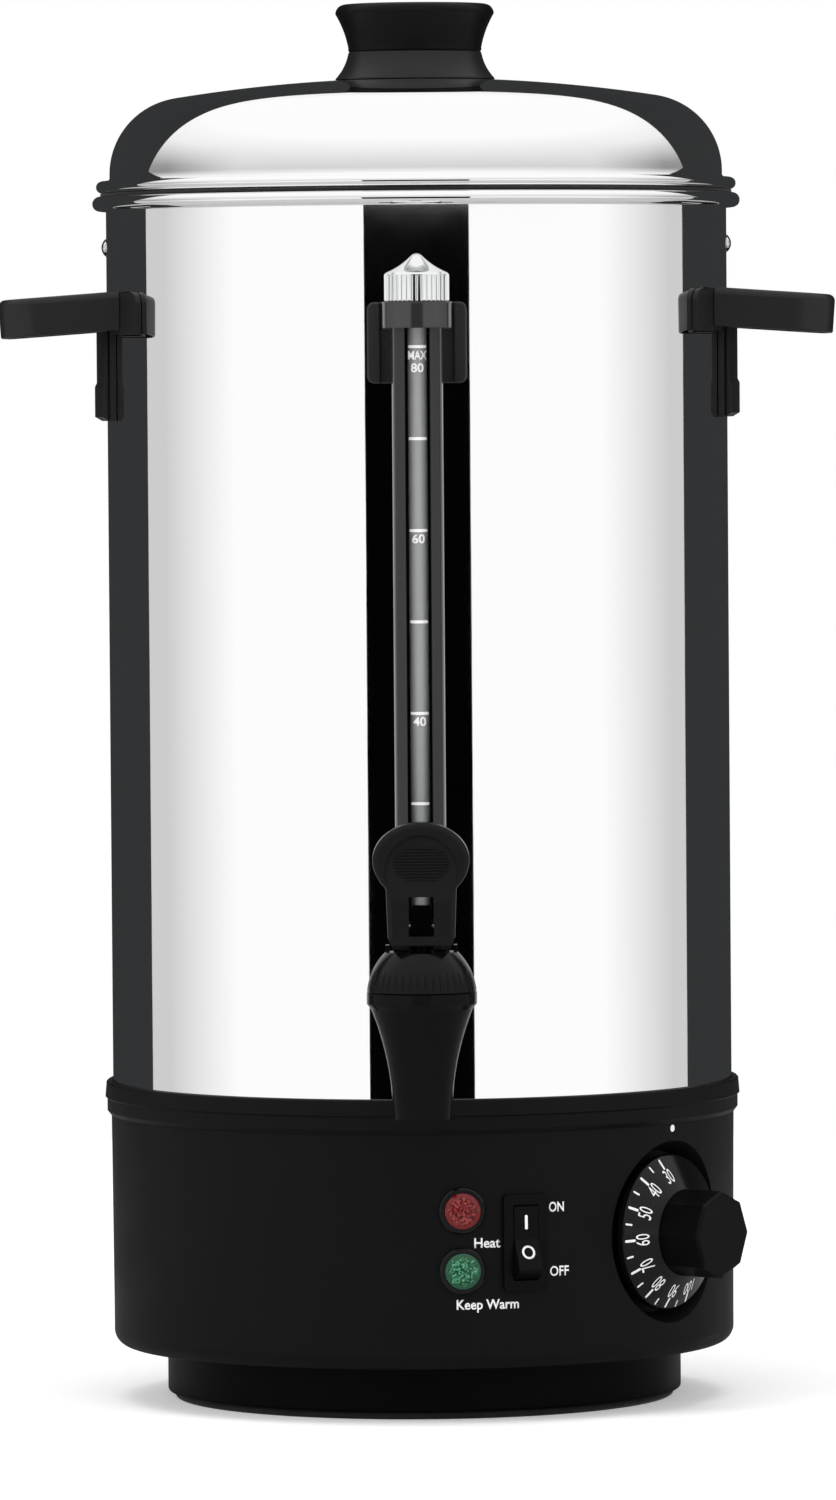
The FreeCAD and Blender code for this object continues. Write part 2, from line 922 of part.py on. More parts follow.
def rounded_plan(reach, half_width, corner, start, low, high):
    """A level slab whose two outer corners are rounded."""
    inner = reach - corner
    flat = half_width - corner
    upper_middle = on_circle(corner, 45, inner, flat)
    lower_middle = on_circle(corner, -45, inner, -flat)
    points = [
        (start, -half_width),
        (inner, -half_width),
        (lower_middle, (reach, -flat)),
        (reach, flat),
        (upper_middle, (inner, half_width)),
        (start, half_width),
    ]
    face = outline_face(points, lambda p: V(p[0], p[1], low))
    return upright(face.extrude(V(0, 0, high - low)))


def handle_window(grow, low, high):
    """The finger opening, grown on every side by a wall."""
    start = mount_reach + side_gap + handle_crosspiece
    reach = handle_reach - handle_bar
    half = handle_half_width - handle_bar
    middle = (start + reach) / 2
    return block(start - grow, middle, -half - grow, half + grow, low, high).fuse(
        rounded_plan(reach + grow, half + grow, handle_window_corner + grow, middle - 1, low, high))


def handle():
    low = handle_top - handle_height
    start = tank_radius - handle_inset
    bar = rounded_plan(handle_reach, handle_half_width, handle_corner, start, low, handle_top)

    def outer_top(edge, middle):
        return middle.z > handle_top - 0.01 and middle.x > start + 1

    def outer_low(edge, middle):
        return middle.z < low + 0.01 and middle.x > start + 1

    bar = fillet_where(bar, handle_wall, outer_top)
    bar = fillet_where(bar, 2 * edge_break, outer_low)
    bar = bar.cut(handle_window(0, low - 1, handle_top + 1))
    inset = handle_wall
    channel = rounded_plan(handle_reach - inset, handle_half_width - inset, handle_corner - inset,
                           start - 5, low - 1, handle_top - inset)
    channel = channel.cut(handle_window(inset, low - 2, handle_top))
    keep = mount_reach + handle_crosspiece + inset
    channel = channel.cut(block(start - 6, keep, -handle_half_width, handle_half_width, low - 2, handle_top))
    bar = bar.cut(channel)
    bar.rotate(V(mount_reach, 0, handle_top), V(0, 1, 0), handle_tilt)
    near = mount_reach + side_gap
    drop = handle_leg + handle_height * 0.4
    face_reach = near + handle_leg_thickness
    leg_low = low - handle_leg
    leg = turned([
        (near, leg_low + side_gap),
        (face_reach, leg_low + 2 * handle_leg_step),
        (face_reach, leg_low + handle_leg_step_rise),
        (face_reach - handle_leg_step, leg_low + handle_leg_step_rise + 2 * handle_leg_step),
        (face_reach - handle_leg_step, leg_low + drop),
        (near, leg_low + drop),
    ], sweep=2 * handle_leg_angle)
    leg.rotate(CENTRE, UP, -handle_leg_angle)
    whole = bar.fuse(leg).cut(post(near, leg_low - 5, handle_top + handle_height))
    for height, angle in handle_screw_places():
        depth = (handle_screw_bite if angle else leg_screw_bite) + side_gap
        hole = rod(handle_screw_radius + running_gap, near - 5, near + depth, height)
        whole = whole.cut(turn_to(hole, 90 + angle))
    return whole


def left_copy(shape):
    return upright(shape.mirror(CENTRE, ALONG_X))


def handle_screws():
    """Screws put in from inside the tank."""
    screws = []
    head_face = tank_inside - side_gap
    for side in (90, 270):
        for height, angle in handle_screw_places():
            depth = handle_screw_bite if angle else leg_screw_bite
            head = rod(handle_screw_head, head_face - handle_screw_head_height, head_face, height)
            shank = rod(handle_screw_radius, head_face, mount_reach + side_gap + depth, height)
            screws.append(turn_to(head.fuse(shank), side + angle))
    return Part.makeCompound(screws)


# Level gauge

def gauge_screw_places():
    return (-gauge_screw_spacing / 2, gauge_screw_spacing / 2)


def gauge_screw_height():
    return gauge_top - gauge_flange_height * 0.72


def gauge_bracket():
    """Flange on the drum with a raised wing on each side and a band round the shield."""
    near = tank_radius + side_gap
    middle_face = near + gauge_flange_thickness
    far = middle_face + gauge_wing_rise
    low = gauge_top - gauge_flange_height
    half = math.degrees(math.asin(gauge_flange_width / 2 / far))
    flange = sector(far, near, low, gauge_top, half)
    flange.rotate(CENTRE, UP, -90)
    side = gauge_flange_width / 2 - 2
    flange = fillet_where(flange, gauge_flange_round, lambda edge, middle: abs(middle.x) > side
                          and edge.Length < far - near + side_gap)
    half_recess = gauge_flange_width / 2 - gauge_wing_width
    recess = block(-half_recess, half_recess, -far - 1, -near, low - 1, gauge_top + 1)
    flange = flange.cut(recess.cut(post(middle_face, low - 2, gauge_top + 2)))
    band_low = gauge_top - gauge_band_height
    band = post(gauge_band_radius, band_low, gauge_top, 0, -gauge_reach)
    bridge = block(-gauge_band_radius, gauge_band_radius, -gauge_reach, -near - 1, band_low, gauge_top)
    body = flange.fuse(band.fuse(bridge))
    body = body.cut(post(near, low - 1, gauge_top + 1))
    body = body.cut(post(gauge_shield_radius + side_gap, low - 1, gauge_top + 1, 0, -gauge_reach))
    for x in gauge_screw_places():
        end = far - gauge_screw_cover
        body = body.cut(rod(gauge_screw_radius + running_gap, near - 6, end, gauge_screw_height(), x))
    return body


def gauge_bracket_screws():
    screws = []
    front = tank_radius + side_gap + gauge_flange_thickness + gauge_wing_rise
    far = front - gauge_screw_cover - 2 * side_gap
    for x in gauge_screw_places():
        head_face = math.sqrt(tank_inside ** 2 - (abs(x) + gauge_screw_head) ** 2) - side_gap / 2
        head_back = head_face - gauge_screw_head_height
        head = rod(gauge_screw_head, head_back, head_face, gauge_screw_height(), x)
        screws.append(head.fuse(rod(gauge_screw_radius, head_face, far, gauge_screw_height(), x)))
    return Part.makeCompound(screws)


def gauge_shield():
    low = boss_top + side_gap
    high = gauge_top - 0.5
    shield = ring(gauge_shield_radius, gauge_shield_radius - gauge_shield_wall, low, high, 0, -gauge_reach)
    front = gauge_reach + gauge_shield_radius + 1
    half = gauge_slot / 2
    return shield.cut(block(-half, half, -front, -gauge_reach, low - 1, high + 1))


def gauge_tube():
    low = boss_top - gauge_seal_height - 2
    high = gauge_top + gauge_cap_knurl - 3
    return ring(gauge_tube_radius, gauge_tube_bore, low, high, 0, -gauge_reach)


def gauge_cap():
    """Knurled cap with a cone on top and a plug that holds the upper seal."""
    knurl_top = gauge_top + gauge_cap_knurl
    plug = gauge_shield_radius - gauge_shield_wall - side_gap
    seal_bore = gauge_seal_radius + running_gap
    tube_bore = gauge_tube_radius + side_gap
    cone_low = gauge_cap_radius - 0.7
    tip_low = knurl_top + gauge_cap_cone - gauge_cap_dome
    cone_middle = ((cone_low + gauge_cap_tip) / 2 - gauge_cap_dip,
                   (knurl_top + tip_low) / 2 - gauge_cap_dip)
    cap = turned([
        (seal_bore, gauge_top - gauge_cap_plug),
        (plug, gauge_top - gauge_cap_plug),
        (plug, gauge_top),
        (gauge_cap_radius - 0.5, gauge_top),
        (gauge_cap_radius, gauge_top + 0.5),
        (gauge_cap_radius, knurl_top - 0.7),
        (cone_low, knurl_top),
        (cone_middle, (gauge_cap_tip, tip_low)),
        dome(gauge_cap_tip, gauge_cap_dome, tip_low),
        (0, knurl_top - 2),
        (tube_bore, knurl_top - 2),
        (tube_bore, gauge_top),
        (seal_bore, gauge_top),
    ])
    for i in range(knurl_count):
        x, y = on_circle(gauge_cap_radius + knurl_radius / 2, i * 360 / knurl_count)
        cap = cap.cut(post(knurl_radius, gauge_top - 1, knurl_top - 1, x, y))
    cap.translate(V(0, -gauge_reach, 0))
    return cap


def gauge_seals():
    bore = gauge_tube_radius + running_gap
    upper_high = gauge_top - running_gap
    lower_high = boss_top - running_gap
    seals = []
    for high in (upper_high, lower_high):
        seals.append(ring(gauge_seal_radius, bore, high - gauge_seal_height + 0.1, high, 0, -gauge_reach))
    return Part.makeCompound(seals)


# Tap

def tap_body():
    low = tap_axis_height - tap_outlet_drop
    waist = tap_axis_height - tap_waist_drop
    band_low = tap_rim - tap_band_height
    cone_top = band_low - 1.8
    cone_middle = (tap_waist_radius + 2.2, waist + 0.475 * (cone_top - waist))
    outer = turned([
        (0, low),
        (tap_outlet_radius, low),
        (tap_waist_radius, waist),
        (cone_middle, (tap_band_radius - 1.5, cone_top)),
        (tap_band_radius, band_low),
        (tap_band_radius, tap_rim),
        (tap_neck_radius, tap_rim),
        (tap_neck_radius, neck_top),
        (0, neck_top),
    ], 0, -tap_reach)
    shank = rod(tap_shank_radius, tank_radius - tap_shank_inside, tap_reach, tap_axis_height)
    flange_near = tank_radius + tap_seal_thickness
    flange = rod(tap_flange_radius, flange_near, flange_near + tap_flange_thickness, tap_axis_height)
    boss = post(gauge_boss_radius, tap_axis_height, boss_top, 0, -gauge_reach)
    body = outer.fuse([shank, flange, boss])
    seal_floor = boss_top - gauge_seal_height
    tube_floor = seal_floor - 3
    cutters = [
        post(tap_outlet_bore, low - 1, tap_seat + 1, 0, -tap_reach),
        post(tap_bowl_radius, tap_seat, neck_top + 1, 0, -tap_reach),
        rod(tap_shank_bore, tank_radius - tap_shank_inside - 1, tap_reach, tap_axis_height),
        post(gauge_seal_radius + running_gap, seal_floor, boss_top + 1, 0, -gauge_reach),
        post(gauge_tube_radius + side_gap, tube_floor, boss_top, 0, -gauge_reach),
        post(1.8, tap_axis_height, boss_top, 0, -gauge_reach),
    ]
    for cutter in cutters:
        body = body.cut(cutter)
    return body


def tap_bonnet():
    """Fluted screw cap over the tap's bowl, with two small guides beside the lever."""
    thread = tap_neck_radius + 0.15
    shoulder = neck_top + cup_flange + 0.1
    bonnet = turned([
        (thread, bonnet_low),
        (tap_band_radius - 0.4, bonnet_low),
        (tap_band_radius - 0.1, bonnet_low + 0.3),
        ((tap_band_radius - 2.2, bonnet_low + 7.6), (bonnet_top_radius, bonnet_top)),
        (stem_radius + running_gap, bonnet_top),
        (stem_radius + running_gap, bonnet_ceiling),
        (spring_radius + 2.8, bonnet_ceiling),
        (tap_bowl_radius + 0.6, shoulder),
        (thread, shoulder),
    ])
    low_reach = tap_band_radius + 0.15
    high_reach = tap_band_radius - 1.75
    start = V(low_reach, 0, bonnet_low + 0.9)
    end = V(high_reach, 0, bonnet_low + 8.2)
    for i in range(bonnet_flutes):
        flute = Part.makeCylinder(flute_radius, (end - start).Length, start, end - start)
        flute.rotate(CENTRE, UP, i * 360 / bonnet_flutes)
        bonnet = bonnet.cut(flute)
    ear_in = lever_foot_width / 2 + ear_gap
    for side in (0, 180):
        ear = block(ear_in, ear_in + ear_thickness, -ear_half_length, ear_half_length,
                    bonnet_top - 1, bonnet_top + ear_height)
        ear.rotate(CENTRE, UP, side)
        bonnet = bonnet.fuse(ear)
    bonnet.translate(V(0, -tap_reach, 0))
    return bonnet


def tap_seals():
    """Washers on both sides of the tank's wall, shaped to the drum."""
    bore = tap_shank_radius + side_gap
    flange_near = tank_radius + tap_seal_thickness
    low = tap_axis_height - tap_seal_radius - 1
    high = tap_axis_height + tap_seal_radius + 1
    outer = rod(tap_seal_radius, tank_radius - 5, flange_near, tap_axis_height)
    outer = outer.cut(post(tank_radius + side_gap / 2, low, high))
    inner = rod(tap_seal_radius, tank_inside - tap_seal_thickness, tank_radius, tap_axis_height)
    inner = inner.common(post(tank_inside - side_gap / 2, low, high))
    hole = rod(bore, tank_radius - 20, tank_radius + 20, tap_axis_height)
    return Part.makeCompound([outer.cut(hole), inner.cut(hole)])


def tap_lock_nut():
    far = tank_inside - tap_seal_thickness
    nut = polygon_rod(6, lock_nut_flats, far - lock_nut_height, far, tap_axis_height)
    return nut.cut(rod(tap_shank_radius + running_gap, far - lock_nut_height - 1, far + 1, tap_axis_height))


def cup_floor():
    return tap_seat + running_gap


def collar_low():
    return cup_floor() + cup_plug_height + cup_socket_rise


def tap_seat_cup():
    """Silicone bell: the plug closes the outlet, and the rim is held under the bonnet."""
    low = cup_floor()
    skirt = tap_bowl_radius - 0.5
    bell = low + cup_plug_height + cup_bell_rise
    socket = collar_low() - 0.2
    return turned([
        (0, low),
        (cup_plug_radius, low),
        (cup_plug_radius, low + cup_plug_height),
        (skirt, bell),
        (skirt, neck_top),
        (tap_neck_radius - 0.6, neck_top),
        (tap_neck_radius - 0.6, neck_top + cup_flange),
        (skirt - cup_wall, neck_top + cup_flange),
        (skirt - cup_wall, bell + 1.0),
        (stem_collar_radius + 0.3, socket + 1.6),
        (stem_collar_radius + 0.3, socket),
        (stem_radius + side_gap, socket),
        (stem_radius + side_gap, low + cup_plug_floor),
        (0, low + cup_plug_floor),
    ], 0, -tap_reach)


def tap_stem():
    """Round stem with a spring collar below and a flat head in the lever's window."""
    foot = cup_floor() + cup_plug_floor + side_gap
    shaft_top = pivot_height - 3.0
    collar = collar_low()
    stem = post(stem_radius, foot, shaft_top + 0.5)
    stem = stem.fuse(post(stem_collar_radius, collar, collar + stem_collar))
    half = stem_head_width / 2
    head_top = pivot_height + stem_head_rise
    head = block(-half, half, -stem_radius, stem_radius, shaft_top, head_top)
    head = fillet_where(head, stem_head_round, lambda edge, middle: middle.z > head_top - 0.01)
    stem = stem.fuse(head)
    recess_low = pivot_height + stem_recess_rise
    recess_half = half - stem_recess_wall
    recess = block(-recess_half, recess_half, -stem_radius - 1, -stem_radius + stem_recess_depth,
                   recess_low, recess_low + stem_recess_height)
    round_centre = V(0, -stem_radius - 2, recess_low + stem_recess_round)
    stem = stem.cut(recess.common(Part.makeCylinder(stem_recess_round, 10, round_centre, V(0, 1, 0))))
    socket = V(0, -stem_radius - 1, pivot_height - stem_lug_drop)
    stem = stem.cut(Part.makeCylinder(stem_lug_radius, 2.4, socket, V(0, 1, 0)))
    stem = stem.cut(cross_rod(pivot_radius + press_gap, half + 1, 0, pivot_height))
    stem.translate(V(0, -tap_reach, 0))
    return stem


def biarc(start, start_way, end, end_way):
    """Two arcs that leave start and reach end along the given unit directions."""
    chord = end - start
    ways = start_way + end_way
    a = 2 * (1 - start_way.dot(end_way))
    b = chord.dot(ways)
    reach = (-b + math.sqrt(b * b + a * chord.dot(chord))) / a
    first = start + start_way * reach
    second = end - end_way * reach
    join = (first + second) * 0.5
    arcs = []
    for begin, corner, finish in ((start, first, join), (join, second, end)):
        weight = (finish - begin).Length / 2 / reach
        middle = (begin + corner * (2 * weight) + finish) * (1 / (2 + 2 * weight))
        arcs.append(Part.Arc(begin, middle, finish).toShape())
    return arcs


def tap_spring():
    """Coil spring round the stem, one unbroken tube on quarter-turn biarcs."""
    low = collar_low() + stem_collar + side_gap + spring_wire
    high = bonnet_ceiling - side_gap - spring_wire
    pitch = (high - low) / spring_turns
    rise = pitch / (2 * math.pi)

    def place(turn):
        return V(spring_radius * math.cos(turn), spring_radius * math.sin(turn), low + rise * turn)

    def way(turn):
        return V(-spring_radius * math.sin(turn), spring_radius * math.cos(turn), rise).normalize()

    edges = []
    for i in range(spring_turns * 4):
        turn = i * math.pi / 2
        after = turn + math.pi / 2
        edges += biarc(place(turn), way(turn), place(after), way(after))
    section = Part.Wire([Part.makeCircle(spring_wire, place(0), way(0))])
    spring = upright(Part.Wire(edges).makePipeShell([section], True, False))
    least_gap = min((place(0) - place(2 * math.pi + step / 50)).Length for step in range(-40, 41))
    print("tap spring: least gap between turns", round(least_gap - 2 * spring_wire, 2), "mm")
    spring.translate(V(0, -tap_reach, 0))
    return spring


def lever_pin():
    half = lever_neck_low_width / 2 - 0.6
    return cross_rod(pivot_radius, half, -tap_reach, pivot_height)


def cam_point(angle):
    """A point of the lever's heel, which lifts the stem evenly as the lever turns."""
    turn = math.radians(angle)
    rise = valve_lift / math.radians(lever_turn)
    rest = pivot_rise - lever_heel_gap
    support = rest + rise * turn
    y = -support * math.sin(turn) - rise * math.cos(turn)
    z = -support * math.cos(turn) + rise * math.sin(turn)
    return (y, z)


def lever_front_view():
    """The lever's outline from the front, as a slab about its pivot."""
    foot = pivot_rise - lever_heel_gap
    low_half = lever_foot_width / 2
    neck_low = lever_neck_low_width / 2
    neck = lever_neck_width / 2
    neck_top_z = lever_neck_rise - pivot_rise
    head = lever_head_width / 2
    head_z = lever_head_rise - pivot_rise
    bulge = ((neck + head) / 2 + 1.1, (neck_top_z + head_z) / 2)
    place = lambda p: V(p[0], 0, p[1])
    left = path_edges([
        (-head, head_z),
        ((-bulge[0], bulge[1]), (-neck, neck_top_z)),
        (-neck_low, lever_bevel - foot),
        (-low_half, -foot),
        (low_half, -foot),
        (neck_low, lever_bevel - foot),
        (neck, neck_top_z),
        (bulge, (head, head_z)),
    ], place)
    oval = Part.Ellipse(V(0, 0, 0), head, lever_head_half_height)
    top = Part.ArcOfEllipse(oval, 0, math.pi).toShape()
    top.rotate(CENTRE, ALONG_X, 90)
    top.translate(V(0, 0, head_z))
    face = Part.Face(Part.Wire(left + [top]))
    slab = upright(face.extrude(V(0, lever_front + lever_back, 0)))
    slab.translate(V(0, -lever_front, 0))
    slab = fillet_where(slab, lever_neck_round, lambda edge, middle: abs(abs(middle.x) - neck) < 0.01
                        and abs(middle.z - neck_top_z) < 0.01)
    front = -lever_front
    return fillet_where(slab, lever_round, lambda edge, middle: abs(middle.y - front) < 0.01
                        and middle.z > lever_bevel - foot - 0.1)


def lever_side_view():
    """The lever's outline from the side: heel cam, front and back."""
    foot = pivot_rise - lever_heel_gap
    top = lever_head_rise - pivot_rise + lever_head_half_height + 1
    front = -lever_front - 1
    head_back = -lever_front + lever_head_thickness
    last = cam_point(lever_turn)
    return prism_x([
        (lever_back - 1.5, -foot),
        cam_point(0),
        (cam_point(lever_turn / 2), last),
        (-lever_front, lever_bevel - foot),
        (front, lever_bevel - foot),
        (front, top),
        (head_back - 1.0, top),
        ((head_back, top - 10), (head_back + 1.5, top - 18)),
        (lever_back, 5.0),
        (lever_back, -foot + 1.5),
    ], lever_head_width)


def thumb_dish():
    """Cutter for the dished thumb rest, deepest at its top edge."""
    head_top = lever_head_rise - pivot_rise + lever_head_half_height
    centre_z = head_top - dish_drop - dish_radius
    front = -lever_front
    outside = V(0, front - 10, centre_z)
    spread = 10 * dish_wall_slope
    disc = Part.makeCone(dish_radius + spread, dish_radius - spread, 20, outside, V(0, 1, 0))
    low = centre_z - dish_radius * 0.8
    high = head_top - dish_drop
    wedge = prism_x([
        (front - 9, low),
        (front, low),
        (front + dish_depth, high + 1),
        (front - 9, high + 1),
    ], 20)
    return disc.common(wedge)


def thumb_ribs():
    """Fine raised lines in the thumb rest, longest in the middle."""
    head_top = lever_head_rise - pivot_rise + lever_head_half_height
    first = head_top - dish_drop - rib_drop
    centre = first - rib_pitch * (rib_count - 1) / 2
    low = head_top - dish_drop - dish_radius * 1.8
    ribs = []
    for i in range(rib_count):
        z = first - i * rib_pitch
        share = (z - low) / (head_top - dish_drop + 1 - low)
        floor_y = -lever_front + dish_depth * share
        reach = rib_reach * math.sqrt(max(0.16, 1 - ((z - centre) / (rib_pitch * rib_count * 0.56)) ** 2))
        ribs.append(block(-reach, reach, floor_y - rib_height, floor_y + 0.6,
                          z - rib_thickness / 2, z + rib_thickness / 2))
    return ribs


def tap_lever():
    lever = lever_front_view().common(lever_side_view())
    half = lever_window_width / 2
    window = block(-half, half, -lever_front - 2, lever_back + 12, -lever_window_low, lever_window_high)
    slot = block(-half, half, -lever_front + lever_front_wall, lever_back + 2,
                 -pivot_rise - 1, -lever_window_low + 1)
    lever = lever.cut(window).cut(slot)
    lever = lever.cut(cross_rod(pivot_radius + running_gap, lever_head_width, 0, 0))
    lever = lever.cut(thumb_dish())
    for rib in thumb_ribs():
        lever = lever.fuse(rib)
    lever.translate(V(0, -tap_reach, pivot_height))
    return lever


# Dial and thermostat, modelled at the front and turned to their azimuth

def dial_disc():
    """Disc that rises as a shallow cone from its rim to the grip."""
    edge = edge_break
    low = dial_reach - dial_thickness
    disc = turned_outward([
        (shaft_radius + press_gap, low),
        (dial_radius - edge, low),
        (dial_radius, low + edge),
        (dial_radius, dial_reach - edge),
        (dial_radius - edge, dial_reach),
        (grip_radius, grip_seat_reach),
        (shaft_radius + press_gap, grip_seat_reach),
    ], 0, controls_height)
    return turn_to(disc, dial_azimuth)


def thermostat_grip():
    flats = 2 * grip_radius * math.cos(math.pi / grip_sides)
    far = grip_seat_reach + grip_length
    grip = polygon_rod(grip_sides, flats, grip_seat_reach, far, controls_height)
    grip.rotate(V(0, 0, controls_height), OUTWARD, 180 / grip_sides)
    grip = fillet_where(grip, grip_round, lambda edge, middle: middle.y < -far + 0.01)
    bore_end = far - shaft_end_wall
    grip = grip.cut(rod(shaft_radius + press_gap, grip_seat_reach - 1, bore_end, controls_height))
    return turn_to(grip, dial_azimuth)


def thermostat_shaft():
    near = pocket_floor_reach - pocket_floor - thermostat_depth + 4
    far = grip_seat_reach + grip_length - shaft_end_wall - side_gap
    shaft = rod(shaft_radius, near, far, controls_height)
    return turn_to(shaft, dial_azimuth)


def thermostat_body():
    face_reach = pocket_floor_reach - pocket_floor
    half = thermostat_size / 2
    body = block(-half, half, -face_reach, -face_reach + thermostat_depth,
                 controls_height - half, controls_height + half)
    body = body.fuse(rod(thermostat_bush, face_reach, pocket_floor_reach, controls_height))
    body = body.cut(rod(shaft_radius + running_gap, face_reach - thermostat_depth + 3,
                        pocket_floor_reach + 1, controls_height))
    for side in (-1, 1):
        x = side * thermostat_screw_spacing / 2
        body = body.cut(rod(thermostat_screw_radius + running_gap, face_reach - thermostat_screw_bite - 1,
                            face_reach + 1, controls_height, x))
    return turn_to(body, dial_azimuth)


def thermostat_screws():
    screws = []
    face_reach = pocket_floor_reach - pocket_floor
    seat = pocket_floor_reach - pocket_floor / 2
    for side in (-1, 1):
        x = side * thermostat_screw_spacing / 2
        head = rod(thermostat_screw_head, seat, seat + 1.1, controls_height, x)
        shank = rod(thermostat_screw_radius, face_reach - thermostat_screw_bite, seat, controls_height, x)
        screws.append(turn_to(head.fuse(shank), dial_azimuth))
    return Part.makeCompound(screws)


# Switch and lamps

def bezel_reach():
    """Where the flat backs of the switch and lamp bezels meet the tapered shell."""
    bezel_top = max(controls_height + switch_bezel_height / 2, lamp_heat_height + lamp_bezel_radius)
    return shell_radius(bezel_top) + running_gap


def rocker_pivot():
    return bezel_reach() + switch_bezel - rocker_pivot_depth


def switch_frame():
    front = bezel_reach() + switch_bezel
    half_width = switch_bezel_width / 2
    half_height = switch_bezel_height / 2
    z = controls_height
    bezel = block(-half_width, half_width, -front, -bezel_reach(), z - half_height, z + half_height)
    bezel = fillet_where(bezel, switch_corner, lambda edge, middle: abs(middle.x) > half_width - 0.01
                         and abs(middle.z - z) > half_height - 0.01)
    half_width = switch_body_width / 2
    half_height = switch_body_height / 2
    back = bezel_reach() - switch_depth
    body = block(-half_width, half_width, -bezel_reach(), -back, z - half_height, z + half_height)
    frame = bezel.fuse(body)
    inside = rocker_width / 2 + side_gap
    lip = rocker_pivot() + rocker_pivot_depth - 0.55
    cavity = cross_rod(rocker_radius + 0.3, inside, -rocker_pivot(), z)
    deep = rocker_back + rocker_radius * math.sin(math.radians(rocker_tilt)) + side_gap
    keep = block(-inside, inside, -lip, -rocker_pivot() + deep, z - 20, z + 20)
    frame = frame.cut(cavity.common(keep))
    half_window = switch_window_height / 2
    window_low = z - half_window
    frame = frame.cut(block(-inside, inside, -front - 1, -rocker_pivot(), window_low, z + half_window))
    pin_hole = rocker_pin_radius + running_gap
    frame = frame.cut(cross_rod(pin_hole, inside + rocker_pin_bite, -rocker_pivot(), z))
    return turn_to(frame, switch_azimuth)


def switch_rocker():
    """Rocker with its upper, ON end pressed and its lower end standing out."""
    half = rocker_width / 2
    slope = math.tan(math.radians(rocker_tilt))
    centre = (rocker_pivot_depth + 0.3) / math.cos(math.radians(rocker_tilt))
    wedge = prism_x([
        (rocker_back, -20),
        (-centre - 20 * slope, -20),
        (-centre, 0),
        (-centre - 20 * slope, 20),
        (rocker_back, 20),
    ], half)
    rocker = cross_rod(rocker_radius, half, 0, 0).common(wedge)
    rocker = rocker.fuse(cross_rod(rocker_pin_radius, half + rocker_pin_bite, 0, 0))
    rocker.rotate(CENTRE, ALONG_X, -rocker_tilt)
    rocker.translate(V(0, -rocker_pivot(), controls_height))
    return turn_to(rocker, switch_azimuth)


def switch_terminals():
    back = bezel_reach() - switch_depth
    blades = []
    for step in (-1, 0, 1):
        z = controls_height + step * terminal_spacing
        blade = block(-terminal_width / 2, terminal_width / 2, -back, -back + terminal_length,
                      z - terminal_thickness / 2, z + terminal_thickness / 2)
        blades.append(turn_to(blade, switch_azimuth))
    return Part.makeCompound(blades)


def lamp_housings():
    near = bezel_reach()
    housings = []
    for height in (lamp_heat_height, lamp_warm_height):
        housing = turned_outward([
            (0, near - lamp_depth),
            (lamp_barrel_radius, near - lamp_depth),
            (lamp_barrel_radius, near),
            (lamp_bezel_radius, near),
            (lamp_bezel_radius, near + lamp_bezel - edge_break),
            (lamp_bezel_radius - edge_break, near + lamp_bezel),
            (lamp_lens_radius + 0.1, near + lamp_bezel),
            (lamp_lens_radius + 0.1, near + 0.6),
            (lamp_barrel_radius - lamp_wall, near + 0.6),
            (lamp_barrel_radius - lamp_wall, near - lamp_depth + 2),
            (0, near - lamp_depth + 2),
        ], 0, height)
        housings.append(turn_to(housing, lamp_azimuth))
    return Part.makeCompound(housings)


def lamp_lens(height):
    seat = bezel_reach() + 0.65
    edge = seat + 1.5
    plug = lamp_barrel_radius - lamp_wall - side_gap
    lens = turned_outward([
        (0, seat - lamp_plug),
        (plug, seat - lamp_plug),
        (plug, seat),
        (lamp_lens_radius, seat),
        (lamp_lens_radius, edge),
        dome(lamp_lens_radius, lamp_dome, edge),
    ], 0, height)
    return turn_to(lens, lamp_azimuth)


# Cord entry

def cord_gland():
    near = shell_radius(gland_height) + side_gap
    gland = turned_outward([
        (gland_bore, near - gland_length),
        (gland_radius, near - gland_length),
        (gland_radius, near),
        (gland_flange_radius, near),
        (gland_flange_radius, near + gland_flange - 0.8),
        (gland_flange_radius - 0.8, near + gland_flange),
        (gland_bore, near + gland_flange),
    ], 0, gland_height)
    return turn_to(gland, 180)


def cord_gland_nut():
    corner = gland_nut_flats / 2 / math.cos(math.pi / 6)
    inner = shell_radius(gland_height) - base_wall
    far = math.sqrt(inner ** 2 - corner ** 2) - side_gap / 2
    nut = polygon_rod(6, gland_nut_flats, far - gland_nut, far, gland_height)
    nut = nut.cut(rod(gland_radius + running_gap, far - gland_nut - 1, far + 1, gland_height))
    return turn_to(nut, 180)


# Heating

def heater_plate():
    return post(heater_radius, heater_under, floor_under - side_gap)


def element_ends():
    """Angles of the element's two ends, with the gap towards the thermostat."""
    gap_middle = dial_azimuth - 90
    half_gap = (360 - element_sweep) / 2
    return gap_middle + half_gap, gap_middle - half_gap


def element_feet():
    """Where the element's two legs point down."""
    feet = []
    for angle, way in zip(element_ends(), (-1, 1)):
        turn = math.radians(angle)
        tangent = V(-math.sin(turn), math.cos(turn), 0) * way
        start = V(element_ring * math.cos(turn), element_ring * math.sin(turn), 0)
        feet.append((start, tangent))
    return feet


